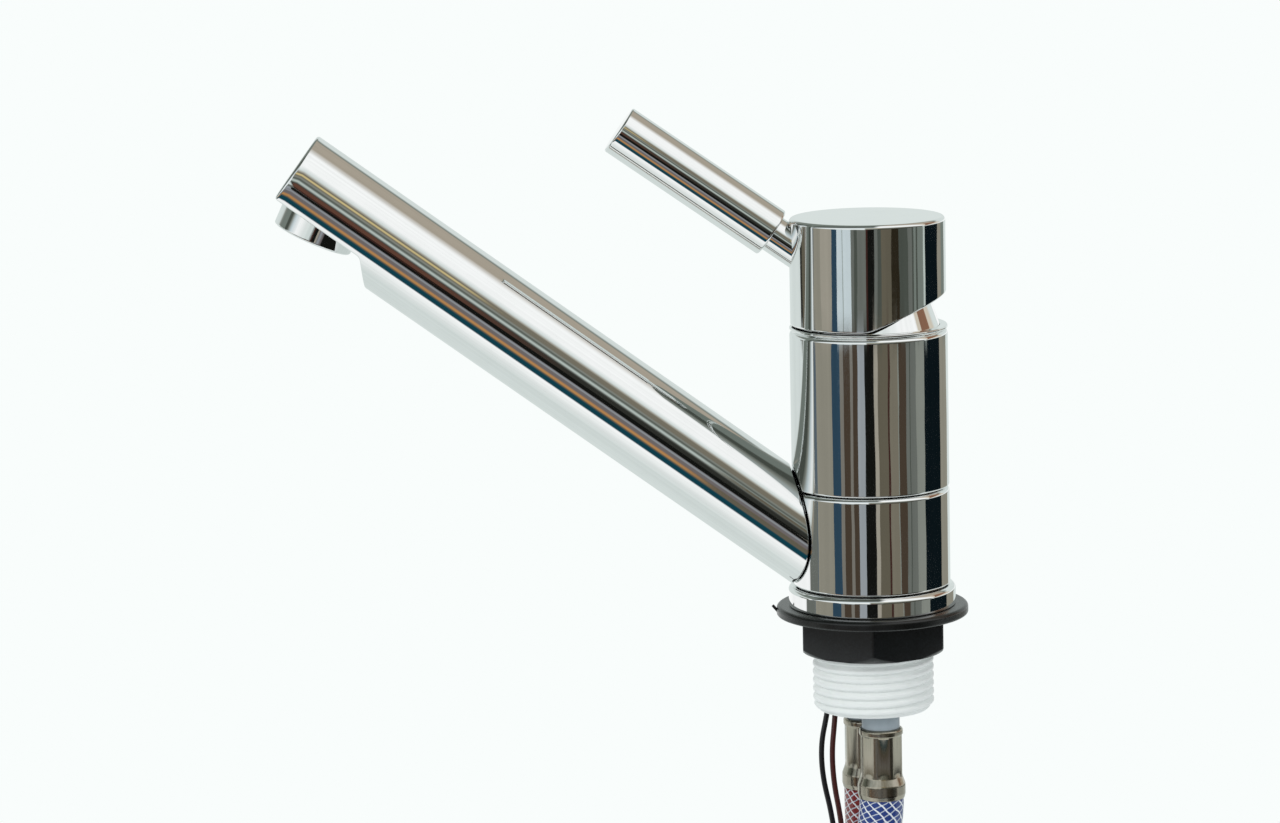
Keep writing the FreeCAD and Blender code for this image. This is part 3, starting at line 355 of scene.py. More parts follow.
def nut_grid():
    """A hexagon's radius is flat / cos(angle from the flat's middle), held back at rounded corners. Each
    column runs up the bore, down the flat and in along the chamfer, from where the cone meets the flat."""
    angle = full_turn(360)
    flat = NUT_CORNER_RADIUS * math.cos(math.pi / 6)
    from_flat = (angle - NUT_TURN) % (math.pi / 3) - math.pi / 6
    hexagon = np.minimum(flat / np.cos(from_flat), NUT_CORNER_RADIUS - NUT_CORNER_ROUND)
    inner = thread_radius + NUT_BORE_GAP + 0 * angle
    cone = NUT_CORNER_RADIUS - NUT_CHAMFER_WIDTH
    rise = np.clip((hexagon - cone) * NUT_CHAMFER_RISE / NUT_CHAMFER_WIDTH, 0.12, None)
    base = np.minimum(cone, hexagon - 0.15)
    low = nut_low[2] + 0 * angle
    high = nut_high[2] + 0 * angle
    radii = [inner, inner + EASED, hexagon - SOFT, hexagon - 0.09, hexagon, hexagon, hexagon, hexagon - 0.1,
             base + 0.15, base, base - BLUNT, inner + EASED, inner]
    heights = [high - EASED, high, high, high - 0.09, high - SOFT, high - 1.0, low + rise + 0.2,
               low + rise - 0.05, low + 0.05, low, low, low, low + EASED]
    return about_z(np.stack(radii), np.stack(heights), angle)


nut = solid_piece("hexagon_nut", [(nut_grid(), True)])
dress(nut, "black_nylon", "nut", "mounting_nut")

# Base ring: a turned brass ring, polished and chromed. It hides the shank's flange and spreads the load
# on the seal.
RING_FIT = 0.05
RING_JOURNAL_GAP = 0.3
RING_TOP_ROUND = 1.3


def chrome_plate(name, unplated_shade_radius=0.0, unplated_shade_top=0.0):
    """Chrome plate on polished brass: a clear mirror with a very faint polishing ripple 14 mm long, and
    smudges from handling that dull it a little. Within a radius of the upright axis and below a top, in
    millimetres, it has no plate and is near black and dull: unplated metal, painted dark as shade for the
    hollow that it lines."""
    material, tree, place = blank_material(name)
    ripple = add(tree, "TexNoise", {"Vector": place, "Scale": 1 / (14 * MM), "Detail": 1.0})
    relief = add(tree, "Bump", {"Height": ripple, "Distance": 0.012 * MM, "Strength": 1.0})
    smudge = add(tree, "TexNoise", {"Vector": place, "Scale": 1 / (9 * MM), "Detail": 6.0, "Roughness": 0.7})
    roughness = add(tree, "MapRange", {
        "Value": smudge, "From Min": 0.45, "From Max": 0.8, "To Min": 0.025, "To Max": 0.07})
    metal = add(tree, "Mix", {0: smudge, 6: colour("f4f5f5"), 7: colour("eaeceb")}, data_type="RGBA")
    if unplated_shade_radius:
        flat = add(tree, "VectorMath", {0: place, 1: (1.0, 1.0, 0.0)}, operation="MULTIPLY")
        from_axis = add(tree, "VectorMath", {0: flat}, operation="LENGTH")
        up = add(tree, "SeparateXYZ", {"Vector": place}).outputs["Z"]
        inside = add(tree, "Math", {0: from_axis, 1: unplated_shade_radius * MM}, operation="LESS_THAN")
        below = add(tree, "Math", {0: up, 1: unplated_shade_top * MM}, operation="LESS_THAN")
        unplated_shade = add(tree, "Math", {0: inside, 1: below}, operation="MULTIPLY")
        # Painted shade: inside the radius and below the top the metal is near black, for the shade in the
        # hollow.
        metal = add(tree, "Mix", {0: unplated_shade, 6: metal, 7: colour("191816")}, data_type="RGBA")
        roughness = add(tree, "MapRange", {"Value": unplated_shade, "To Min": roughness, "To Max": 0.5})
    shader = add(tree, "BsdfPrincipled", {
        "Base Color": metal, "Metallic": 1.0, "Roughness": roughness, "Normal": relief})
    add(tree, "OutputMaterial", {"Surface": shader})
    return material


def turned(name, corners, turns, slot, body, node, centre=(0.0, 0.0)):
    """A dressed piece whose closed section is carried round an upright axis through a centre."""
    grid = lathe(rounded(corners, True), turns)
    grid[..., :2] += centre
    return dress(solid_piece(name, [(grid, True)]), slot, body, node)


finish["chromed_brass"] = chrome_plate("polished_chrome_plate")
ring_low, ring_high = extent("base_ring")
ring_bore = flange_radius + RING_FIT
ring_hole = JOURNAL_RADIUS + RING_JOURNAL_GAP
turned("chrome_base_ring", [
    (ring_bore, ring_low[2], CRISP), (ring_high[0], ring_low[2], BLUNT),
    (ring_high[0], ring_high[2], RING_TOP_ROUND), (ring_hole, ring_high[2], CRISP),
    (ring_hole, FLANGE_TOP, CRISP), (ring_bore, FLANGE_TOP, CRISP),
], 256, "chromed_brass", "base", "base_ring")

# Swivel collar: the turning half of the body, bored to run on the shank's journal. A branch brazed into
# its side carries the spout, which hides it.
SPOUT_ANGLE = math.radians(36.4)
SPOUT_AXIS_HEIGHT = 9.2
BRANCH_RADIUS = 7.5
BRANCH_START = 24.0
BRANCH_END = 51.0
COLLAR_TOP_ROUND = 1.2
COLLAR_FIT = 0.08
COLLAR_SEAM = 0.35
collar_bore = JOURNAL_RADIUS + COLLAR_FIT
collar_low = ring_high[2] + COLLAR_SEAM
collar_top = shell_low[2] - COLLAR_SEAM
collar_ring = lathe(rounded([
    (collar_bore, collar_low, EASED), (body_radius, collar_low, BLUNT),
    (body_radius, collar_top, COLLAR_TOP_ROUND), (collar_bore, collar_top, EASED),
], True), 256)
branch = lathe(rounded([
    (0, BRANCH_START), (BRANCH_RADIUS, BRANCH_START, EASED), (BRANCH_RADIUS, BRANCH_END, 0.5),
    (0, BRANCH_END),
]), 64)
branch = leaning(branch, SPOUT_ANGLE, SPOUT_AXIS_HEIGHT)
collar = solid_piece("chrome_swivel_collar", [(collar_ring, True), (branch, False)])
dress(collar, "chromed_brass", "spout", "swivel_collar")

# Spout: drawn brass tube, cut to a saddle against the body. Its end is closed, and milled flat below
# for the nozzle, with a leaning step where the cutter ran out. Polished and chromed.
SPOUT_RADIUS = 13.3
SPOUT_WALL = 1.6
SPOUT_LENGTH = 193.6
SADDLE_GAP = 0.55
FLAT_DROP = 5.9
FLAT_LENGTH = 27.7
STEP_LEAN = math.radians(41)
STEP_ROUND = 2.4
STEP_FOOT_ROUND = 2.5
SPOUT_EDGE_ROUND = 0.5
SPOUT_END_ROUND = 0.9
SADDLE_BLEND = 62.0
CAVITY_END = 150.0


def spout_rows(radius, drop, edge=SPOUT_EDGE_ROUND):
    """Cross-sections as (below, side): a circle cut off at a drop below its axis, its two corners rounded.

    The corner's arc touches the flat and the circle, so its centre is edge inside both. With the drop at
    the radius there is no flat, and those points fall together.
    """
    radius = np.atleast_1d(radius)[:, None]
    drop = np.minimum(np.atleast_1d(drop)[:, None], radius)
    corner = np.arccos(np.clip((drop - edge) / (radius - edge), -1, 1))
    half_flat = (radius - edge) * np.sin(corner)
    flat = np.linspace(0, 1, 10)[:-1]
    arc = np.linspace(0, 1, 7)[:-1] * corner
    circle = corner + (np.pi - corner) * np.linspace(0, 1, 81)
    below = np.concatenate([drop + 0 * flat, drop - edge + edge * np.cos(arc), radius * np.cos(circle)], 1)
    side = np.concatenate([half_flat * flat, half_flat + edge * np.sin(arc), radius * np.sin(circle)], 1)
    return np.concatenate([below, below[:, -2:0:-1]], 1), np.concatenate([side, -side[:, -2:0:-1]], 1)


def spout_grid():
    """Rows from inside the tube, over its saddle edge, along the outside and over the closed end.

    On the saddle the distance along the axis is where the wall meets an upright cylinder:
    (sqrt(saddle radius squared - side squared) - below * sin A) / cos A.
    """
    saddle = body_radius + SADDLE_GAP
    inner = SPOUT_RADIUS - SPOUT_WALL
    flat_start = SPOUT_LENGTH - FLAT_LENGTH
    step_start = flat_start - (SPOUT_RADIUS - FLAT_DROP) * math.tan(STEP_LEAN)
    rows = []

    def ring(radius, drop, along):
        below, side = spout_rows(radius, drop)
        rows.append(np.stack(np.broadcast_arrays(below, side, along), -1))

    def saddle_rows(radius, lift, blend):
        below, side = spout_rows(radius, radius)
        mouth = (np.sqrt(saddle ** 2 - side ** 2) - below * math.sin(SPOUT_ANGLE)) / math.cos(SPOUT_ANGLE)
        along = mouth + lift + (SADDLE_BLEND - mouth - lift) * blend
        rows.append(np.stack(np.broadcast_arrays(below, side, along), -1))

    cavity = [1e-3, inner, inner]
    ring(cavity, cavity, [[CAVITY_END], [CAVITY_END], [SADDLE_BLEND]])
    edge = [inner, inner, inner + 0.15, SPOUT_RADIUS - 0.3, SPOUT_RADIUS - 0.09, SPOUT_RADIUS]
    saddle_rows(edge, np.array([[1.0, 0.15, 0.0, 0.0, 0.09, 0.3]]).T, 0)
    saddle_rows(SPOUT_RADIUS, 0.3, np.linspace(0, 1, 40)[1:, None] ** 1.5)
    ring(SPOUT_RADIUS, SPOUT_RADIUS, np.linspace(SADDLE_BLEND, step_start - 4, 24)[1:, None])
    under = rounded([
        (step_start - 4, SPOUT_RADIUS), (step_start, SPOUT_RADIUS, STEP_FOOT_ROUND),
        (flat_start, FLAT_DROP, STEP_ROUND), (SPOUT_LENGTH - SPOUT_END_ROUND, FLAT_DROP),
    ], steps=12)[1:]
    step = under[:-1]
    slope = np.argmax(step[:-1, 1] - step[1:, 1])
    fill = step[slope] + (step[slope + 1] - step[slope]) * np.linspace(0, 1, 30)[1:-1, None]
    step = np.concatenate([step[:slope + 1], fill, step[slope + 1:]])
    flat = np.linspace(step[-1, 0], under[-1, 0], 16)[1:, None]
    step = np.concatenate([step, np.concatenate([flat, 0 * flat + FLAT_DROP], 1)])
    ring(SPOUT_RADIUS, step[:, 1], step[:, :1])
    turn = np.linspace(0, np.pi / 2, 9)[1:]
    inset = SPOUT_END_ROUND * (1 - np.cos(turn))
    end = SPOUT_LENGTH - SPOUT_END_ROUND * (1 - np.sin(turn))
    ring(SPOUT_RADIUS - inset, FLAT_DROP - inset, end[:, None])
    last = rows[-1][-1]
    centre = [-(SPOUT_RADIUS - FLAT_DROP) / 2, 0, SPOUT_LENGTH]
    shrink = np.array([0.985, 0.8, 0.5, 0.2, 0.0])[:, None, None]
    rows.append(centre + (last - centre) * shrink)
    return leaning(np.concatenate(rows), SPOUT_ANGLE, SPOUT_AXIS_HEIGHT)


spout = solid_piece("chrome_spout", [(spout_grid(), False)])
dress(spout, "chromed_brass", "spout", "spout_tube")

# Nozzle: a turned brass collar round the aerator, chromed, and sunk a little into the spout's flat. It
# leans so that the water falls ahead of the spout.
NOZZLE_RADIUS = 11.1
NOZZLE_BORE = 8.2
NOZZLE_LEAN = math.radians(11.2)
NOZZLE_SETBACK = 14.6
NOZZLE_REACH = 4.7
NOZZLE_EMBED = 0.4
NOZZLE_WALL_LOW = 1.2
NOZZLE_WALL_TOP = 2.4


def nozzle_grid():
    """A round collar about its own leaned axis. Its outer wall ends where it meets the spout's flat, at a
    height that changes with the angle: (reach + embed + x sin lean) / cos lean."""
    section = rounded([
        (NOZZLE_RADIUS, 2.0), (NOZZLE_RADIUS, 0, 0.6), (NOZZLE_BORE, 0, SOFT), (NOZZLE_BORE, NOZZLE_WALL_TOP),
    ])[1:]
    collar = lathe(section, 192)
    top = collar[:1].copy()
    top[..., 2] = (NOZZLE_REACH + NOZZLE_EMBED + top[..., 0] * math.sin(NOZZLE_LEAN)) / math.cos(NOZZLE_LEAN)
    lower = top.copy()
    lower[..., 2] = NOZZLE_WALL_LOW + (top[..., 2] - NOZZLE_WALL_LOW) * 0.9
    wall = np.concatenate([top, lower, collar])
    across = np.array([math.sin(NOZZLE_LEAN), 0, math.cos(NOZZLE_LEAN)])
    inward = np.array([-math.cos(NOZZLE_LEAN), 0, math.sin(NOZZLE_LEAN)])
    rim = [FLAT_DROP + NOZZLE_REACH, 0, SPOUT_LENGTH - NOZZLE_SETBACK]
    placed = rim + wall[..., :1] * across + wall[..., 1:2] * [0, 1, 0] + wall[..., 2:] * inward
    return leaning(placed, SPOUT_ANGLE, SPOUT_AXIS_HEIGHT)


nozzle = solid_piece("chrome_nozzle", [(nozzle_grid(), True)])
dress(nozzle, "chromed_brass", "spout", "nozzle")

# Body shell: the fixed upper half of the body, a turned brass sleeve. Its wall rounds off into a narrow
# groove, which leaves a bead round the top edge.
BEAD_HEIGHT = 1.1
GROOVE_WIDTH = 0.25
GROOVE_DEPTH = 1.3
SHELL_EDGE_ROUND = 1.2
SHELL_WALL = 2.1
groove_low = shell_high[2] - BEAD_HEIGHT
groove_high = groove_low + GROOVE_WIDTH
groove_floor = body_radius - GROOVE_DEPTH
shell_bore = body_radius - SHELL_WALL
turned("chrome_body_shell", [
    (shell_bore, shell_low[2], EASED), (body_radius, shell_low[2], BLUNT),
    (body_radius, groove_low, SHELL_EDGE_ROUND), (groove_floor, groove_low), (groove_floor, groove_high),
    (body_radius, groove_high, SOFT), (body_radius, shell_high[2], 0.35), (shell_bore, shell_high[2], EASED),
], 256, "chromed_brass", "base", "body_shell")

# Cartridge cover: the polished cone that closes the body over the cartridge. It is turned from brass and
# chromed, and shows where the cap is cut away.
COVER_WALL = 1.5
COVER_CONE_HEIGHT = 6.0
COVER_CONE_ANGLE = math.radians(20)
COVER_HOLE = 10.0
cover_low, cover_high = extent("cartridge_cover")
cover_radius = cover_high[0]
cover_bore = cover_radius - COVER_WALL
cover_ceiling = cover_high[2] - COVER_WALL
cone_top = shell_high[2] + COVER_CONE_HEIGHT
cone_radius = cover_radius - COVER_CONE_HEIGHT * math.tan(COVER_CONE_ANGLE)
turned("chrome_cartridge_cover", [
    (cover_bore, cover_low[2], EASED), (cover_radius, cover_low[2], EASED),
    (cover_radius, shell_high[2], 0.5), (cone_radius, cone_top, 0.6), (cone_radius - 2.0, cover_high[2], 0.9),
    (COVER_HOLE, cover_high[2], EASED), (COVER_HOLE, cover_ceiling, EASED),
    (cone_radius - 2.8, cover_ceiling, SOFT),
    (cone_radius - COVER_WALL, cone_top - 0.8, SOFT), (cover_bore, shell_high[2], SOFT),
], 256, "chromed_brass", "base", "cartridge_cover")

# Lever cap: a pressed brass cap, chromed outside and unplated within, fixed on the stem by a screw. Within it
# # the metal is painted near black as shade, which darkens the gap under its rim. It is cut away at the back
# so
# # that it can tip as the lever rises.
CAP_WALL = 1.5
CAP_TOP_ROUND = 1.0
CAP_RIM_ROUND = 0.3
CAP_CUT_START = -1.2
CAP_CUT_ANGLE = math.radians(21.06)
CAP_CUT_ROUND = 12.0
cap_low, cap_high = extent("lever_cap")
cap_radius = cap_high[0]


def cap_rim(x):
    """How far the cap's lower edge climbs at x: nothing, then an arc, then a straight slope."""
    tangent = CAP_CUT_ROUND * math.tan(CAP_CUT_ANGLE / 2)
    arc_start = CAP_CUT_START - tangent
    arc_end = CAP_CUT_START + tangent * math.cos(CAP_CUT_ANGLE)
    arc = CAP_CUT_ROUND - np.sqrt(CAP_CUT_ROUND ** 2 - np.clip(x - arc_start, 0, arc_end - arc_start) ** 2)
    return np.where(x < arc_end, arc, (x - CAP_CUT_START) * math.tan(CAP_CUT_ANGLE))


def cap_grid():
    """Rows from the ceiling's middle down the inside, round the rim, up the outside and over the top."""
    angle = full_turn(320)
    inner = cap_radius - CAP_WALL
    turn = np.linspace(0, np.pi / 2, 7)[:, None]
    rim_turn = np.concatenate([turn, turn[::-1]])
    rim_end = 5 + len(rim_turn)
    radius = np.concatenate([
        [[0.0], [inner * 0.5], [inner - 0.1], [inner], [inner]],
        inner + CAP_RIM_ROUND * (1 - np.cos(turn)), cap_radius - CAP_RIM_ROUND * (1 - np.cos(turn[::-1])),
        np.full((14, 1), cap_radius), cap_radius - CAP_TOP_ROUND * (1 - np.cos(turn)),
        [[cap_radius - CAP_TOP_ROUND - 0.15], [cap_radius * 0.7], [cap_radius * 0.3], [0.0]],
    ])
    rim = cap_low[2] + cap_rim(radius * np.cos(angle))
    ceiling = cap_high[2] - CAP_WALL + 0 * angle[None]
    top = cap_high[2] + 0 * angle[None]
    wall_low = rim[rim_end] + CAP_RIM_ROUND
    climb = np.array([0.01, *np.linspace(0.06, 0.97, 12), 0.995])[:, None]
    wall_high = cap_high[2] - CAP_TOP_ROUND
    height = np.concatenate([
        ceiling, ceiling, ceiling, ceiling - 0.2, rim[4:5] + 1.0,
        rim[5:rim_end] + CAP_RIM_ROUND * (1 - np.sin(rim_turn)),
        wall_low + (wall_high - wall_low) * climb, wall_high + CAP_TOP_ROUND * np.sin(turn) + 0 * angle,
        top, top, top, top,
    ])
    return about_z(radius, height, angle)


# The cap's inside is painted near black: painted shade in the hollow, over unplated metal.
unplated_shade_inside = chrome_plate("chrome_plate_unplated_shade_inside", cap_radius - 0.25, cap_high[2] - 1.0)
cap = solid_piece("chrome_lever_cap", [(cap_grid(), False)])
dress(cap, "chromed_brass", "lever", "lever_cap", unplated_shade_inside)

# Lever rod: a thin neck brazed into the cap, and a thicker solid grip pressed over it. Both are turned
# brass, polished and chromed.
LEVER_ANGLE = math.radians(35.45)
LEVER_AXIS_HEIGHT = 87.2
NECK_RADIUS = 5.1
NECK_START = 20.5
NECK_END = 43.7
GRIP_RADIUS = 6.95
GRIP_START = 31.7
GRIP_LENGTH = 50.2
GRIP_EDGE_ROUND = 0.6
SOCKET_RADIUS = 5.15
SOCKET_END = 43.8
grip_end = GRIP_START + GRIP_LENGTH


def lever_rod(name, node, corners, turns):
    """A solid round rod on the lever's leaning axis."""
    rod = leaning(lathe(rounded(corners), turns), LEVER_ANGLE, LEVER_AXIS_HEIGHT)
    dress(solid_piece(name, [(rod, False)]), "chromed_brass", "lever", node)


lever_rod("chrome_lever_neck", "lever_neck", [
    (0, NECK_START), (NECK_RADIUS, NECK_START, BLUNT), (NECK_RADIUS, NECK_END, BLUNT), (0, NECK_END),
], 128)
lever_rod("chrome_lever_grip", "lever_grip", [
    (0, SOCKET_END), (SOCKET_RADIUS, SOCKET_END, EASED), (SOCKET_RADIUS, GRIP_START, EASED),
    (GRIP_RADIUS, GRIP_START, GRIP_EDGE_ROUND), (GRIP_RADIUS, grip_end, GRIP_EDGE_ROUND), (0, grip_end),
], 160)

# Inner pieces: the cartridge, its seals and nut, the pump switch and its slider, the screw and its plug.
# They stay as packed, and take plain workshop finishes.

# Grey acetal, moulded: a cool mid grey, satin, with faint flow clouds 3 mm across.
mottled_finish("grey_acetal", "moulded_grey_acetal", "98a3ab", "aab4bb", 3.0, 3.0, {
    "Roughness": 0.38, "IOR": 1.48})

# Stainless steel, drawn and crimped: warm grey with fine draw lines along the sleeve.
mottled_finish("crimped_steel", "drawn_stainless_steel", "9d9687", "bcb6a8", 0.4, 3.0, {
    "Metallic": 1.0, "Roughness": 0.2}, stretch=(1.0, 1.0, 0.03), grain=(0.4, 3.0, 0.01, 0.6))

# Brass, turned: yellow, with fine turning lines.
mottled_finish("brass", "turned_brass", "c79f52", "e2c07a", 0.3, 3.0, {
    "Metallic": 1.0, "Roughness": 0.28}, stretch=(0.05, 0.05, 1.0), grain=(0.3, 3.0, 0.01, 0.6))

# Alumina, lapped: off-white ceramic with faint clouds.
mottled_finish("alumina", "lapped_alumina", "ece9e1", "f7f5ef", 2.0, 4.0, {"Roughness": 0.2, "IOR": 1.76})

# PVC wire insulation, extruded: glossy, with a faint mottle.
insulation = {"Roughness": 0.28, "IOR": 1.53}
mottled_finish("black_pvc", "extruded_black_pvc", "0d0e10", "1b1c1f", 1.5, 3.0, insulation)
mottled_finish("brown_pvc", "extruded_brown_pvc", "34100e", "4a1a16", 1.5, 3.0, insulation)

# Tinned brass: a dull silvery strip, blanked and rolled.
mottled_finish("tinned_brass", "tinned_brass_strip", "b9b5a8", "d8d6cd", 1.2, 4.0, {
    "Metallic": 1.0, "Roughness": 0.35})

for subpart in frame["record"]["subparts"]:
    slot = subpart["material_slot"]
    if slot in finish:
        packed = frame["nodes"][subpart["node"]]
        packed.data.materials.clear()
        packed.data.materials.append(finish[slot])

# Hose tails: grey acetal spigots pushed into the shank's floor, each with a barb inside its hose. A shoulder
# above the barb stops the ferrule.
TAIL_BORE = 2.7
TAIL_BARB = 3.9
for water in ("cold", "hot"):
    tail_low, tail_high = extent(water + "_tail")
    tail_radius = (tail_high[0] - tail_low[0]) / 2
    shoulder = extent(water + "_ferrule")[1][2]
    turned(water + "_acetal_tail", [
        (TAIL_BORE, tail_low[2], EASED), (TAIL_BARB, tail_low[2], SOFT), (TAIL_BARB, shoulder, CRISP),
        (tail_radius, shoulder, EASED), (tail_radius, tail_high[2], SOFT), (TAIL_BORE, tail_high[2], EASED),
    ], 64, "grey_acetal", "base", water + "_tail", (tail_low[:2] + tail_high[:2]) / 2)

# Ferrules: drawn steel sleeves that hold the hoses on their tails. A rolled bead at the top, a waist
# pressed by eight jaws, which leaves flats with narrow ridges between them, and a plain bulged mouth.
JAWS = 8
JAW_FLAT_RADIUS = 5.55
JAW_TURN = math.radians(18)
RIDGE_RADIUS = 5.85
BEAD_RADIUS = 6.05
MOUTH_RADIUS = 6.6
MOUTH_LIP = 6.3
FERRULE_WALL = 0.45
MOUTH_HEIGHT = 3.9
WAIST_START = 6.0
WAIST_END = 17.7
FERRULE_HOLE = 4.1
FERRULE_TOP_WALL = 0.6


def ferrule_grid(length):
    """A sleeve with its mouth at zero. In the waist the radius is the smaller of the ridge's and that of
    a flat, flat radius / cos(angle from the jaw's middle)."""
    inner = JAW_FLAT_RADIUS - FERRULE_WALL
    section = rounded([
        (FERRULE_HOLE, length, CRISP), (BEAD_RADIUS, length, 0.7), (BEAD_RADIUS, WAIST_END + 0.25, 0.5),
        (RIDGE_RADIUS, WAIST_END, 0.1), (RIDGE_RADIUS, WAIST_END - 0.25), (RIDGE_RADIUS, WAIST_END - 0.45),
        (RIDGE_RADIUS, WAIST_START + 1.6), (RIDGE_RADIUS, WAIST_START + 1.2),
        (RIDGE_RADIUS, WAIST_START + 0.8), (RIDGE_RADIUS, WAIST_START, 0.8),
        (MOUTH_RADIUS, MOUTH_HEIGHT, 1.8), (MOUTH_RADIUS, 1.2, 1.2), (MOUTH_LIP, 0, 0.15),
        (MOUTH_RADIUS - FERRULE_WALL, 0), (MOUTH_RADIUS - FERRULE_WALL, MOUTH_HEIGHT - 0.5, 0.5),
        (inner, WAIST_START - 0.3, 0.5), (inner, length - FERRULE_TOP_WALL, EASED),
        (FERRULE_HOLE, length - FERRULE_TOP_WALL, CRISP),
    ], True)
    sleeve = lathe(section, 192)
    angle = np.arctan2(sleeve[..., 1], sleeve[..., 0])
    radius = np.hypot(sleeve[..., 0], sleeve[..., 1])
    from_jaw = (angle + JAW_TURN) % (2 * math.pi / JAWS) - math.pi / JAWS
    pressed = np.minimum(JAW_FLAT_RADIUS / np.cos(from_jaw), RIDGE_RADIUS)
    into_waist = np.clip((sleeve[..., 2] - WAIST_START) / 1.4, 0, 1)
    in_waist = into_waist * np.clip((WAIST_END - sleeve[..., 2]) / 0.4, 0, 1)
    outside = radius > RIDGE_RADIUS - 0.1
    new_radius = np.where(outside, radius + (np.minimum(pressed, radius) - radius) * in_waist, radius)
    sleeve[..., :2] *= (new_radius / radius)[..., None]
    return sleeve


def ferrule(name, node, mouth_down):
    """A ferrule on its node's axis, with its mouth at the lower or the upper end."""
    low, high = extent(node)
    sleeve = ferrule_grid(high[2] - low[2])
    if mouth_down:
        sleeve[..., 2] += low[2]
    else:
        sleeve[..., 2] = high[2] - sleeve[..., 2]
    sleeve[..., :2] += (low[:2] + high[:2]) / 2
    return dress(solid_piece(name, [(sleeve, True)]), "crimped_steel", "base", node)


for water in ("cold", "hot"):
    ferrule(water + "_crimped_ferrule", water + "_ferrule", True)
end_pieces = {}
for water in ("cold", "hot"):
    end_pieces[water] = [ferrule(water + "_end_crimped_ferrule", water + "_end_ferrule", False)]

# Hose ends: turned brass stems for push-fit pipe connectors, with a collar that stops against the ferrule.
# Each is barbed into its hose like a tail.
STEM_RADIUS = 6.0
STEM_END_ROUND = 0.8
STEM_COLLAR = 7.0
STEM_COLLAR_HEIGHT = 2.0
for water in ("cold", "hot"):
    stem_low, stem_high = extent(water + "_end_stem")
    stop_top = extent(water + "_end_ferrule")[0][2]
    stop_low = stop_top - STEM_COLLAR_HEIGHT
    end_pieces[water].append(turned(water + "_brass_stem", [
        (TAIL_BORE, stem_low[2], SOFT), (STEM_RADIUS, stem_low[2], STEM_END_ROUND),
        (STEM_RADIUS, stop_low, EASED), (STEM_COLLAR, stop_low, BLUNT), (STEM_COLLAR, stop_top, BLUNT),
        (TAIL_BARB, stop_top, CRISP), (TAIL_BARB, stem_high[2], SOFT), (TAIL_BORE, stem_high[2], EASED),
    ], 96, "brass", "base", water + "_end_stem", (stem_low[:2] + stem_high[:2]) / 2))

# Hoses: rubber tube in a coloured sleeve with an open white braid, under clear PVC. Only their tops
# show. They hang down from the ferrules, drift apart and end in their stems.
HOSE_DIAMETER = 12.2
BRAID_STRANDS = 12.0
BRAID_LONG_PITCH = 3.0
BRAID_SHORT_PITCH = 1.9
BRAID_YARN = 0.18
BRAID_WAVER = 0.25
UPPER_YARN = "eef1f4"
# Painted shade: the lower yarns are white yarn painted grey where the upper set lies over them.
SHADED_LOWER_YARN = "c3cad6"
COLD_ROUTE = [
    (1.5, -6.5, -50.4), (1.5, -6.5, -56.4), (-2.5, -7.7, -75.0), (-5.5, -11.0, -110.0), (-6.5, -15.5, -158.0),
    (-6.5, -21.0, -206.0), (-3.0, -26.0, -262.0), (-3.0, -26.0, -312.0),
]
HOT_ROUTE = [
    (-2.1, 6.5, -50.4), (-2.1, 6.5, -65.0), (-0.5, 8.0, -93.0), (3.0, 13.5, -141.0), (6.0, 21.5, -199.0),
    (6.5, 26.0, -254.0), (6.5, 26.0, -304.0),
]


def spline_points(name, route, resolution=16):
    """Points on the NURBS curve that has the route's points as its control points, in metres."""
    curve = bpy.data.curves.new(name + "_line", "CURVE")
    curve.dimensions = "3D"
    curve.resolution_u = resolution
    spline = curve.splines.new("NURBS")
    spline.points.add(len(route) - 1)
    homogeneous = np.concatenate([np.array(route) * MM, np.ones((len(route), 1))], 1)
    spline.points.foreach_set("co", homogeneous.ravel())
    spline.order_u = 3
    spline.use_endpoint_u = True
    line = bpy.data.objects.new(name + "_line", curve)
    mesh = bpy.data.meshes.new_from_object(line)
    points = np.zeros(len(mesh.vertices) * 3)
    mesh.vertices.foreach_get("co", points)
    bpy.data.objects.remove(line)
    bpy.data.curves.remove(curve)
    bpy.data.meshes.remove(mesh)
    return points.reshape(-1, 3)


def tube_piece(name, line, diameter, sides):
    """A round tube along a line: each ring lies across the line's direction. Its UV map runs once round
    the tube, and along it in metres."""
    way = np.gradient(line, axis=0)
    way /= np.linalg.norm(way, axis=1)[:, None]
    across = [1, 0, 0] - way * way[:, :1]
    across /= np.linalg.norm(across, axis=1)[:, None]
    other = np.cross(way, across)
    angle = full_turn(sides)[:, None]
    ring = across[:, None] * np.cos(angle) + other[:, None] * np.sin(angle)
    points = line[:, None] + ring * diameter * MM / 2
    rows = len(line)
    faces = quads(rows, sides, False)[:, ::-1]
    ends = [list(range(sides)), list(range(rows * sides)[:-sides - 1:-1])]
    mesh = bpy.data.meshes.new(name)
    mesh.from_pydata(points.reshape(-1, 3).tolist(), [], faces.tolist() + ends)
    run = np.concatenate([[0], np.cumsum(np.linalg.norm(np.diff(line, axis=0), axis=1))])
    row = np.arange(rows - 1)[:, None, None] + np.array([1, 1, 0, 0])
    column = np.arange(sides)[None, :, None] + np.array([0, 1, 1, 0])
    pairs = np.stack(np.broadcast_arrays(column / sides, run[row]), -1).reshape(-1, 2)
    layer = mesh.uv_layers.new(name="round_and_along")
    layer.data.foreach_set("uv", np.concatenate([pairs, np.zeros((2 * sides, 2))]).ravel())
    mesh.shade_smooth()
    return bpy.data.objects.new(name, mesh)


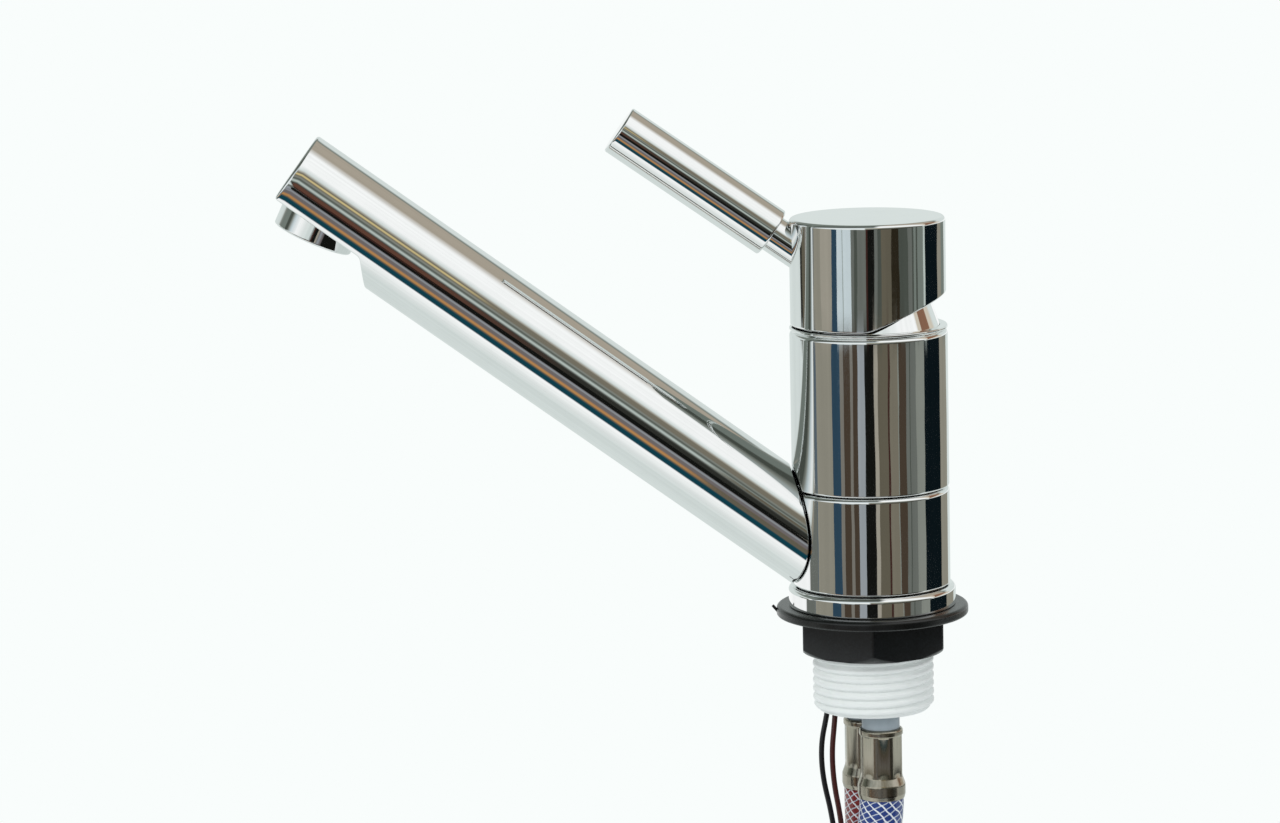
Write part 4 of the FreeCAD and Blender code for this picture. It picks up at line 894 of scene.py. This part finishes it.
def braid(slot, name, deep, bright):
    """Open braid under clear PVC: two sets of white yarns wind opposite ways, so a yarn lies where the
    fraction of strands * turn +- run / pitch is near a half. The sleeve is twisted, so one set is steeper,
    and it lies over the other; the lower set is painted greyer as shade under it. A slow noise bends the
    yarns, and a mottle varies the coloured ground."""
    material, tree, place = blank_material(name)
    uv = add(tree, "UVMap", uv_map="round_and_along")
    turn, run = add(tree, "SeparateXYZ", {"Vector": uv}).outputs[:2]
    waver = add(tree, "TexNoise", {"Vector": place, "Scale": 1 / (3 * MM), "Detail": 1.0})
    shift = add(tree, "MapRange", {"Value": waver, "To Min": -BRAID_WAVER, "To Max": BRAID_WAVER})
    bent = add(tree, "Math", {0: turn, 1: BRAID_STRANDS, 2: shift}, operation="MULTIPLY_ADD")
    yarns = []
    for pitch in (BRAID_LONG_PITCH, -BRAID_SHORT_PITCH):
        phase = add(tree, "Math", {0: run, 1: 1 / (pitch * MM), 2: bent}, operation="MULTIPLY_ADD")
        part = add(tree, "Math", {0: phase}, operation="FRACT")
        off = add(tree, "Math", {0: part, 1: 0.5}, operation="SUBTRACT")
        gap = add(tree, "Math", {0: off}, operation="ABSOLUTE")
        yarns.append(add(tree, "MapRange", {
            "Value": gap, "From Min": BRAID_YARN / 2 * 0.7, "From Max": BRAID_YARN / 2 * 1.3,
            "To Min": 1.0, "To Max": 0.0,
        }))
    mottle = add(tree, "TexNoise", {"Vector": place, "Scale": 1 / (1.2 * MM), "Detail": 3.0})
    sleeve = add(tree, "Mix", {0: mottle, 6: colour(deep), 7: colour(bright)}, data_type="RGBA")
    # The lower set gets the painted shade colour, the upper set the white.
    for yarn, code in ((yarns[1], SHADED_LOWER_YARN), (yarns[0], UPPER_YARN)):
        sleeve = add(tree, "Mix", {0: yarn, 6: sleeve, 7: colour(code)}, data_type="RGBA")
    cover = add(tree, "Math", {0: yarns[0], 1: yarns[1]}, operation="MAXIMUM")
    relief = add(tree, "Bump", {"Height": cover, "Distance": 0.12 * MM, "Strength": 0.5})
    shader = add(tree, "BsdfPrincipled", {
        "Base Color": sleeve, "Roughness": 0.45, "IOR": 1.5, "Normal": relief,
        "Coat Weight": 0.7, "Coat Roughness": 0.12,
    })
    add(tree, "OutputMaterial", {"Surface": shader})
    finish[slot] = material


def hang_cord(name, node, route, diameter, sides, slot):
    """A dressed tube along a route."""
    line = spline_points(name, route)
    piece = dress(tube_piece(name, line, diameter, sides), slot, "base", node)


braid("blue_braid", "blue_braided_hose", "0e2870", "1b4290")
braid("red_braid", "red_braided_hose", "6d0d13", "8f171d")
for water, route, slot in (("cold", COLD_ROUTE, "blue_braid"), ("hot", HOT_ROUTE, "red_braid")):
    hang_cord(water + "_braided_hose", water + "_hose", route, HOSE_DIAMETER, 64, slot)

# Switch leads: two thin PVC wires from the pump switch, out through the shank and down beside the hoses,
# each with a blade receptacle crimped on its end.
LEAD_DIAMETER = 1.5
BLACK_ROUTE = [
    (-9.5, 1.0, 3.0), (-9.5, 1.0, -8.0), (-12.2, 0.6, -25.0), (-15.6, 0.2, -41.0), (-10.8, -0.4, -62.0),
    (-9.4, 0.6, -95.0), (-10.6, 1.8, -140.0), (-12.8, 0.8, -190.0), (-11.6, -0.6, -240.0),
    (-11.6, -0.6, -280.0),
]
BROWN_ROUTE = [
    (-9.5, -1.0, 3.0), (-9.5, -1.0, -8.0), (-10.6, -3.4, -26.0), (-12.4, -4.6, -42.0), (-8.8, -4.2, -62.0),
    (-8.2, -2.0, -94.0), (-7.0, -1.6, -138.0), (-8.6, -2.8, -186.0), (-8.0, -4.0, -234.0),
    (-8.0, -4.0, -272.0),
]
for dye, route in (("black", BLACK_ROUTE), ("brown", BROWN_ROUTE)):
    hang_cord(dye + "_switch_lead", dye + "_wire", route, LEAD_DIAMETER, 24, dye + "_pvc")

# Camera: a long lens 1.24 m in front of the tap and higher than it. It looks down by 9.3 degrees, and is
# rolled by just over a degree.
FOCAL_PIXELS = 4600
IMAGE_WIDTH = 1280
SENSOR_WIDTH = 36.0
CAMERA_PITCH = math.radians(9.3)
CAMERA_ROLL = 0.0225
CAMERA_EYE = (-62.6, -1238.0, 260.1)
camera_data = bpy.data.cameras.new("camera")
camera_data.sensor_width = SENSOR_WIDTH
camera_data.lens = SENSOR_WIDTH * FOCAL_PIXELS / IMAGE_WIDTH
camera = bpy.data.objects.new("camera", camera_data)
camera.location = Vector(CAMERA_EYE) * MM
tipped = Matrix.Rotation(math.pi / 2 - CAMERA_PITCH, 3, "X")
camera.rotation_euler = (tipped @ Matrix.Rotation(-CAMERA_ROLL, 3, "Z")).to_euler()
scene.collection.objects.link(camera)
scene.camera = camera

# Studio: a pale floor below the hoses and a white surround. For the chrome to mirror there is a ring of
# painted panels round the tap, in two tiers, with an arch of painted cloth above and below it and a second
# arch at its left. Two soft lamps light the plastics and the rubber.
FLOOR_GAP = 6.0
FLOOR_RADIUS = 900.0
WHITE = "f7f8f8"
PALE = "d2dad8"
SKY = "c3cfd3"
CREAM = "cdc4b4"
MIST = "b3bdb8"
GOLD = "cbb985"
LINEN = "a79e90"
STONE = "9b968a"
LEAD = "949a9f"
FOG = "959f9d"
COPPER = "b58450"
TAUPE = "8a877b"
CLAY = "86634f"
DOVE = "82867f"
PUTTY = "746f62"
SAGE = "727a74"
PEWTER = "75726b"
HEATHER = "6b6667"
ASH = "666a65"
UMBER = "5f5a4d"
STEEL = "535f68"
BRICK = "5e3f33"
COCOA = "453b31"
SLATE = "484d47"
CHARCOAL = "2d2e2a"
RUST = "3a2420"
NAVY = "2c4354"
TEAL = "113e4b"
BARK = "282319"
SOOT = "131412"
INK = "0b1418"
UPPER_PANELS = [
    (-180, PALE), (-122, CHARCOAL), (-116, UMBER), (-109, PEWTER), (-100.5, WHITE), (-95, STEEL),
    (-91, TAUPE), (-76, STONE), (-58, NAVY), (-50, SKY), (-42, FOG), (-40, SKY), (-27, ASH), (-23, SLATE),
    (-19, ASH), (-7, RUST), (-3, SOOT), (6, ASH), (11, SLATE), (16, UMBER), (31, BARK), (45, SLATE),
    (58, ASH), (65, SLATE), (68, SAGE), (72, SLATE), (75, SAGE), (87, MIST), (91, INK), (121, TAUPE),
    (135, SAGE), (148, PALE),
]
LOWER_PANELS = [
    (-180, PALE), (-118, DOVE), (-107, ASH), (-101.5, WHITE), (-93.5, STEEL), (-88, TAUPE), (-60, NAVY),
    (-47, PEWTER), (-41.5, COCOA), (-32, PEWTER), (-28, COCOA), (-20.5, LEAD), (-10, SOOT), (3.5, STONE),
    (8.5, UMBER), (23, RUST), (26.5, PUTTY), (38, DOVE), (40, COCOA), (51, ASH), (57, SLATE), (59, ASH),
    (68, DOVE), (84, INK), (122, TAUPE), (148, PALE),
]
ARCH = [
    (-180, WHITE), (-175, WHITE), (-172, PALE), (-85, PALE), (-44.5, WHITE), (-43, TEAL), (-33.5, TEAL),
    (-31, UMBER), (-28.5, COPPER), (-26, COPPER), (-23, HEATHER), (-18, HEATHER), (-16, LEAD),
    (-13, HEATHER), (-10, CHARCOAL), (1, CHARCOAL), (3, ASH), (5, MIST), (7, MIST), (9, SAGE),
    (10.5, SLATE), (14, DOVE), (17, PUTTY), (24, PUTTY), (26, STONE), (30, PALE), (40, WHITE), (78, WHITE),
    (100, LINEN), (136, LINEN), (142, SAGE), (150, PALE),
]
LEFT_ARCH = [
    (-180, PALE), (-60, WHITE), (-20, SKY), (0, PALE), (15, WHITE), (35, SKY), (50, DOVE), (62, SLATE),
    (85, SLATE), (96, SAGE), (140, SAGE), (150, DOVE), (160, PALE),
]
SWAY = 2.5
WIDE_SWAY = 5.0
ARCH_LEAN = -0.737
ARCH_MIDDLE = -0.12
STRIPE_BLUR = 1.0
BACKDROP = "f9fdfc"
ROOM_LIGHT = "d3d8d9"
FLOOR_PAINT = "f2f5f5"

surround = bpy.data.worlds.new("studio_room")
scene.world = surround
surround.use_nodes = True
tree = surround.node_tree
tree.nodes.clear()
looking = add(tree, "TexCoord").outputs["Generated"]
side, away, height = add(tree, "SeparateXYZ", {"Vector": looking}).outputs
towards = add(tree, "Math", {0: away, 1: -1.0}, operation="MULTIPLY")


def turn_to(axis):
    """Degrees by which a direction turns from straight ahead of the tap to an axis."""
    angle = add(tree, "Math", {0: axis, 1: towards}, operation="ARCTAN2")
    return add(tree, "Math", {0: angle}, operation="DEGREES")


def bands(value, colours, blend):
    """Colours by an angle from -180 to 180 degrees. Each band starts at its own angle."""
    share = add(tree, "MapRange", {"Value": value, "From Min": -180.0, "From Max": 180.0})
    ramp = add(tree, "ValToRGB", {"Fac": share})
    ramp.color_ramp.interpolation = blend
    elements = ramp.color_ramp.elements
    while len(elements) < len(colours):
        elements.new(1.0)
    for element, (start, code) in zip(elements, colours):
        element.position = (start + 180) / 360
        element.color = colour(code)
    return ramp


def within(*limits):
    """A product of straight climbs, each (value, start, stop), from zero at its start to one at its stop."""
    share = 1.0
    for value, start, stop in limits:
        climb = add(tree, "MapRange", {"Value": value, "From Min": start, "From Max": stop})
        share = add(tree, "Math", {0: share, 1: climb}, operation="MULTIPLY")
    return share


def painted(under, over, *limits):
    """One colour painted over another within limits."""
    return add(tree, "Mix", {0: within(*limits), 6: under, 7: over}, data_type="RGBA")


# The panels stand by their bearing. Their edges sway a little with height, and most where the dark brown
# panel stands. Low at the left a white and a grey panel stand before the others.
bearing = turn_to(side)
stretched = add(tree, "Mapping", {"Vector": looking, "Scale": (3, 3, 60)})
waver = add(tree, "TexNoise", {"Vector": stretched, "Scale": 1.0, "Detail": 2.0})
wave = add(tree, "MapRange", {"Value": waver, "To Min": -1.0, "To Max": 1.0})
reach = add(tree, "MapRange", {
    "Value": within((bearing, 24, 32), (bearing, 52, 44)), "To Min": SWAY, "To Max": WIDE_SWAY})
swayed = add(tree, "Math", {0: wave, 1: reach, 2: bearing}, operation="MULTIPLY_ADD")
lower = bands(swayed, LOWER_PANELS, "CONSTANT")
upper = bands(swayed, UPPER_PANELS, "CONSTANT")
panels = painted(lower, upper, (height, -0.150, -0.142))
low_left = painted(colour(WHITE), colour(ASH), (bearing, -107, -105))
panels = painted(panels, low_left, (height, -0.176, -0.18), (bearing, -88, -89))

# The arch goes by its tilt. It has a brick stripe and a gold line towards the left. Towards the right its
# pale line and its copper stripe turn brown, and far to the right it is cream with a clay stripe.
tilt = turn_to(height)
lean = add(tree, "Math", {0: height, 1: ARCH_LEAN, 2: ARCH_MIDDLE}, operation="MULTIPLY_ADD")
along = add(tree, "Math", {0: side, 1: lean}, operation="ADD")
cloth = bands(tilt, ARCH, "LINEAR")
for code, low, high, *limits in (
    (BRICK, -9.5, 1, (along, -0.02, -0.07), (along, -0.2, -0.14)),
    (GOLD, 18.5, 22, (along, -0.048, -0.06)),
    (UMBER, 3, 8, (along, 0.02, 0.032)),
    (UMBER, -31, -23, (along, 0.015, 0.028)),
    (CREAM, 86, 178, (side, 0.72, 0.8)),
    (CLAY, 108, 154, (side, 0.72, 0.8)),
):
    cloth = painted(cloth, colour(code), *limits, (tilt, low - STRIPE_BLUR, low + STRIPE_BLUR),
                    (tilt, high + STRIPE_BLUR, high - STRIPE_BLUR))

# The second arch takes over at the left, and reaches over the tap. A corner low at the right is dark.
left_arch = bands(tilt, LEFT_ARCH, "LINEAR")
cloth = painted(cloth, left_arch, (side, -0.08, -0.12), (height, -0.12, -0.06))
cloth = painted(cloth, left_arch, (side, 0.2, 0.1), (height, 0.4, 0.5))
cloth = painted(cloth, colour(SOOT), (side, 0.33, 0.38), (height, -0.2, -0.22), (height, -0.74, -0.7),
                (away, -0.15, -0.25))

# The panels' tops step down towards the right. Slow streaks of light vary the whole room, which only
# glossy rays see.
panel_top = add(tree, "MapRange", {
    "Value": side, "From Min": -0.3, "From Max": -0.1, "To Min": -0.06, "To Max": -0.11})
over_panels = add(tree, "Math", {0: height, 1: panel_top}, operation="SUBTRACT")
room = painted(cloth, panels, (height, -0.235, -0.215), (over_panels, 0.02, 0.0))
streaks = add(tree, "TexNoise", {"Vector": looking, "Scale": 9.0, "Detail": 3.0})
strength = add(tree, "MapRange", {
    "Value": streaks, "From Min": 0.3, "From Max": 0.7, "To Min": 1.04, "To Max": 1.14})
room = add(tree, "VectorMath", {0: room, "Scale": strength}, operation="SCALE")
rays = add(tree, "LightPath")
plain = add(tree, "Mix", {
    0: rays.outputs["Is Camera Ray"], 6: colour(ROOM_LIGHT), 7: colour(BACKDROP)}, data_type="RGBA")
seen = add(tree, "Mix", {0: rays.outputs["Is Glossy Ray"], 6: plain, 7: room}, data_type="RGBA")
light = add(tree, "Background", {"Color": seen, "Strength": 1.0})
add(tree, "OutputWorld", {"Surface": light})

floor_height = cad_box[0][2] / MM - FLOOR_GAP
floor_section = [(0, floor_height), (FLOOR_RADIUS * 0.5, floor_height), (FLOOR_RADIUS, floor_height)]
floor = solid_piece("pale_floor", [(lathe(np.array(floor_section), 96), False)])
floor_paint, tree, place = blank_material("pale_floor_paint")
shader = add(tree, "BsdfPrincipled", {"Base Color": colour(FLOOR_PAINT), "Roughness": 0.8})
add(tree, "OutputMaterial", {"Surface": shader})
floor.data.materials.append(floor_paint)
scene.collection.objects.link(floor)
floor.visible_glossy = False

for name, stand, aim, width, power in (
    ("key_lamp", (-700, -900, 900), (-40, 0, 20), 700, 6),
    ("fill_lamp", (800, -700, 500), (-20, 0, 0), 600, 1),
):
    light = bpy.data.lights.new(name, "AREA")
    light.size = width * MM
    light.energy = power
    lamp = bpy.data.objects.new(name, light)
    lamp.location = Vector(stand) * MM
    lamp.rotation_euler = (Vector(stand) - Vector(aim)).to_track_quat("Z", "Y").to_euler()
    lamp.visible_glossy = False
    scene.collection.objects.link(lamp)
scene.view_settings.view_transform = "Standard"
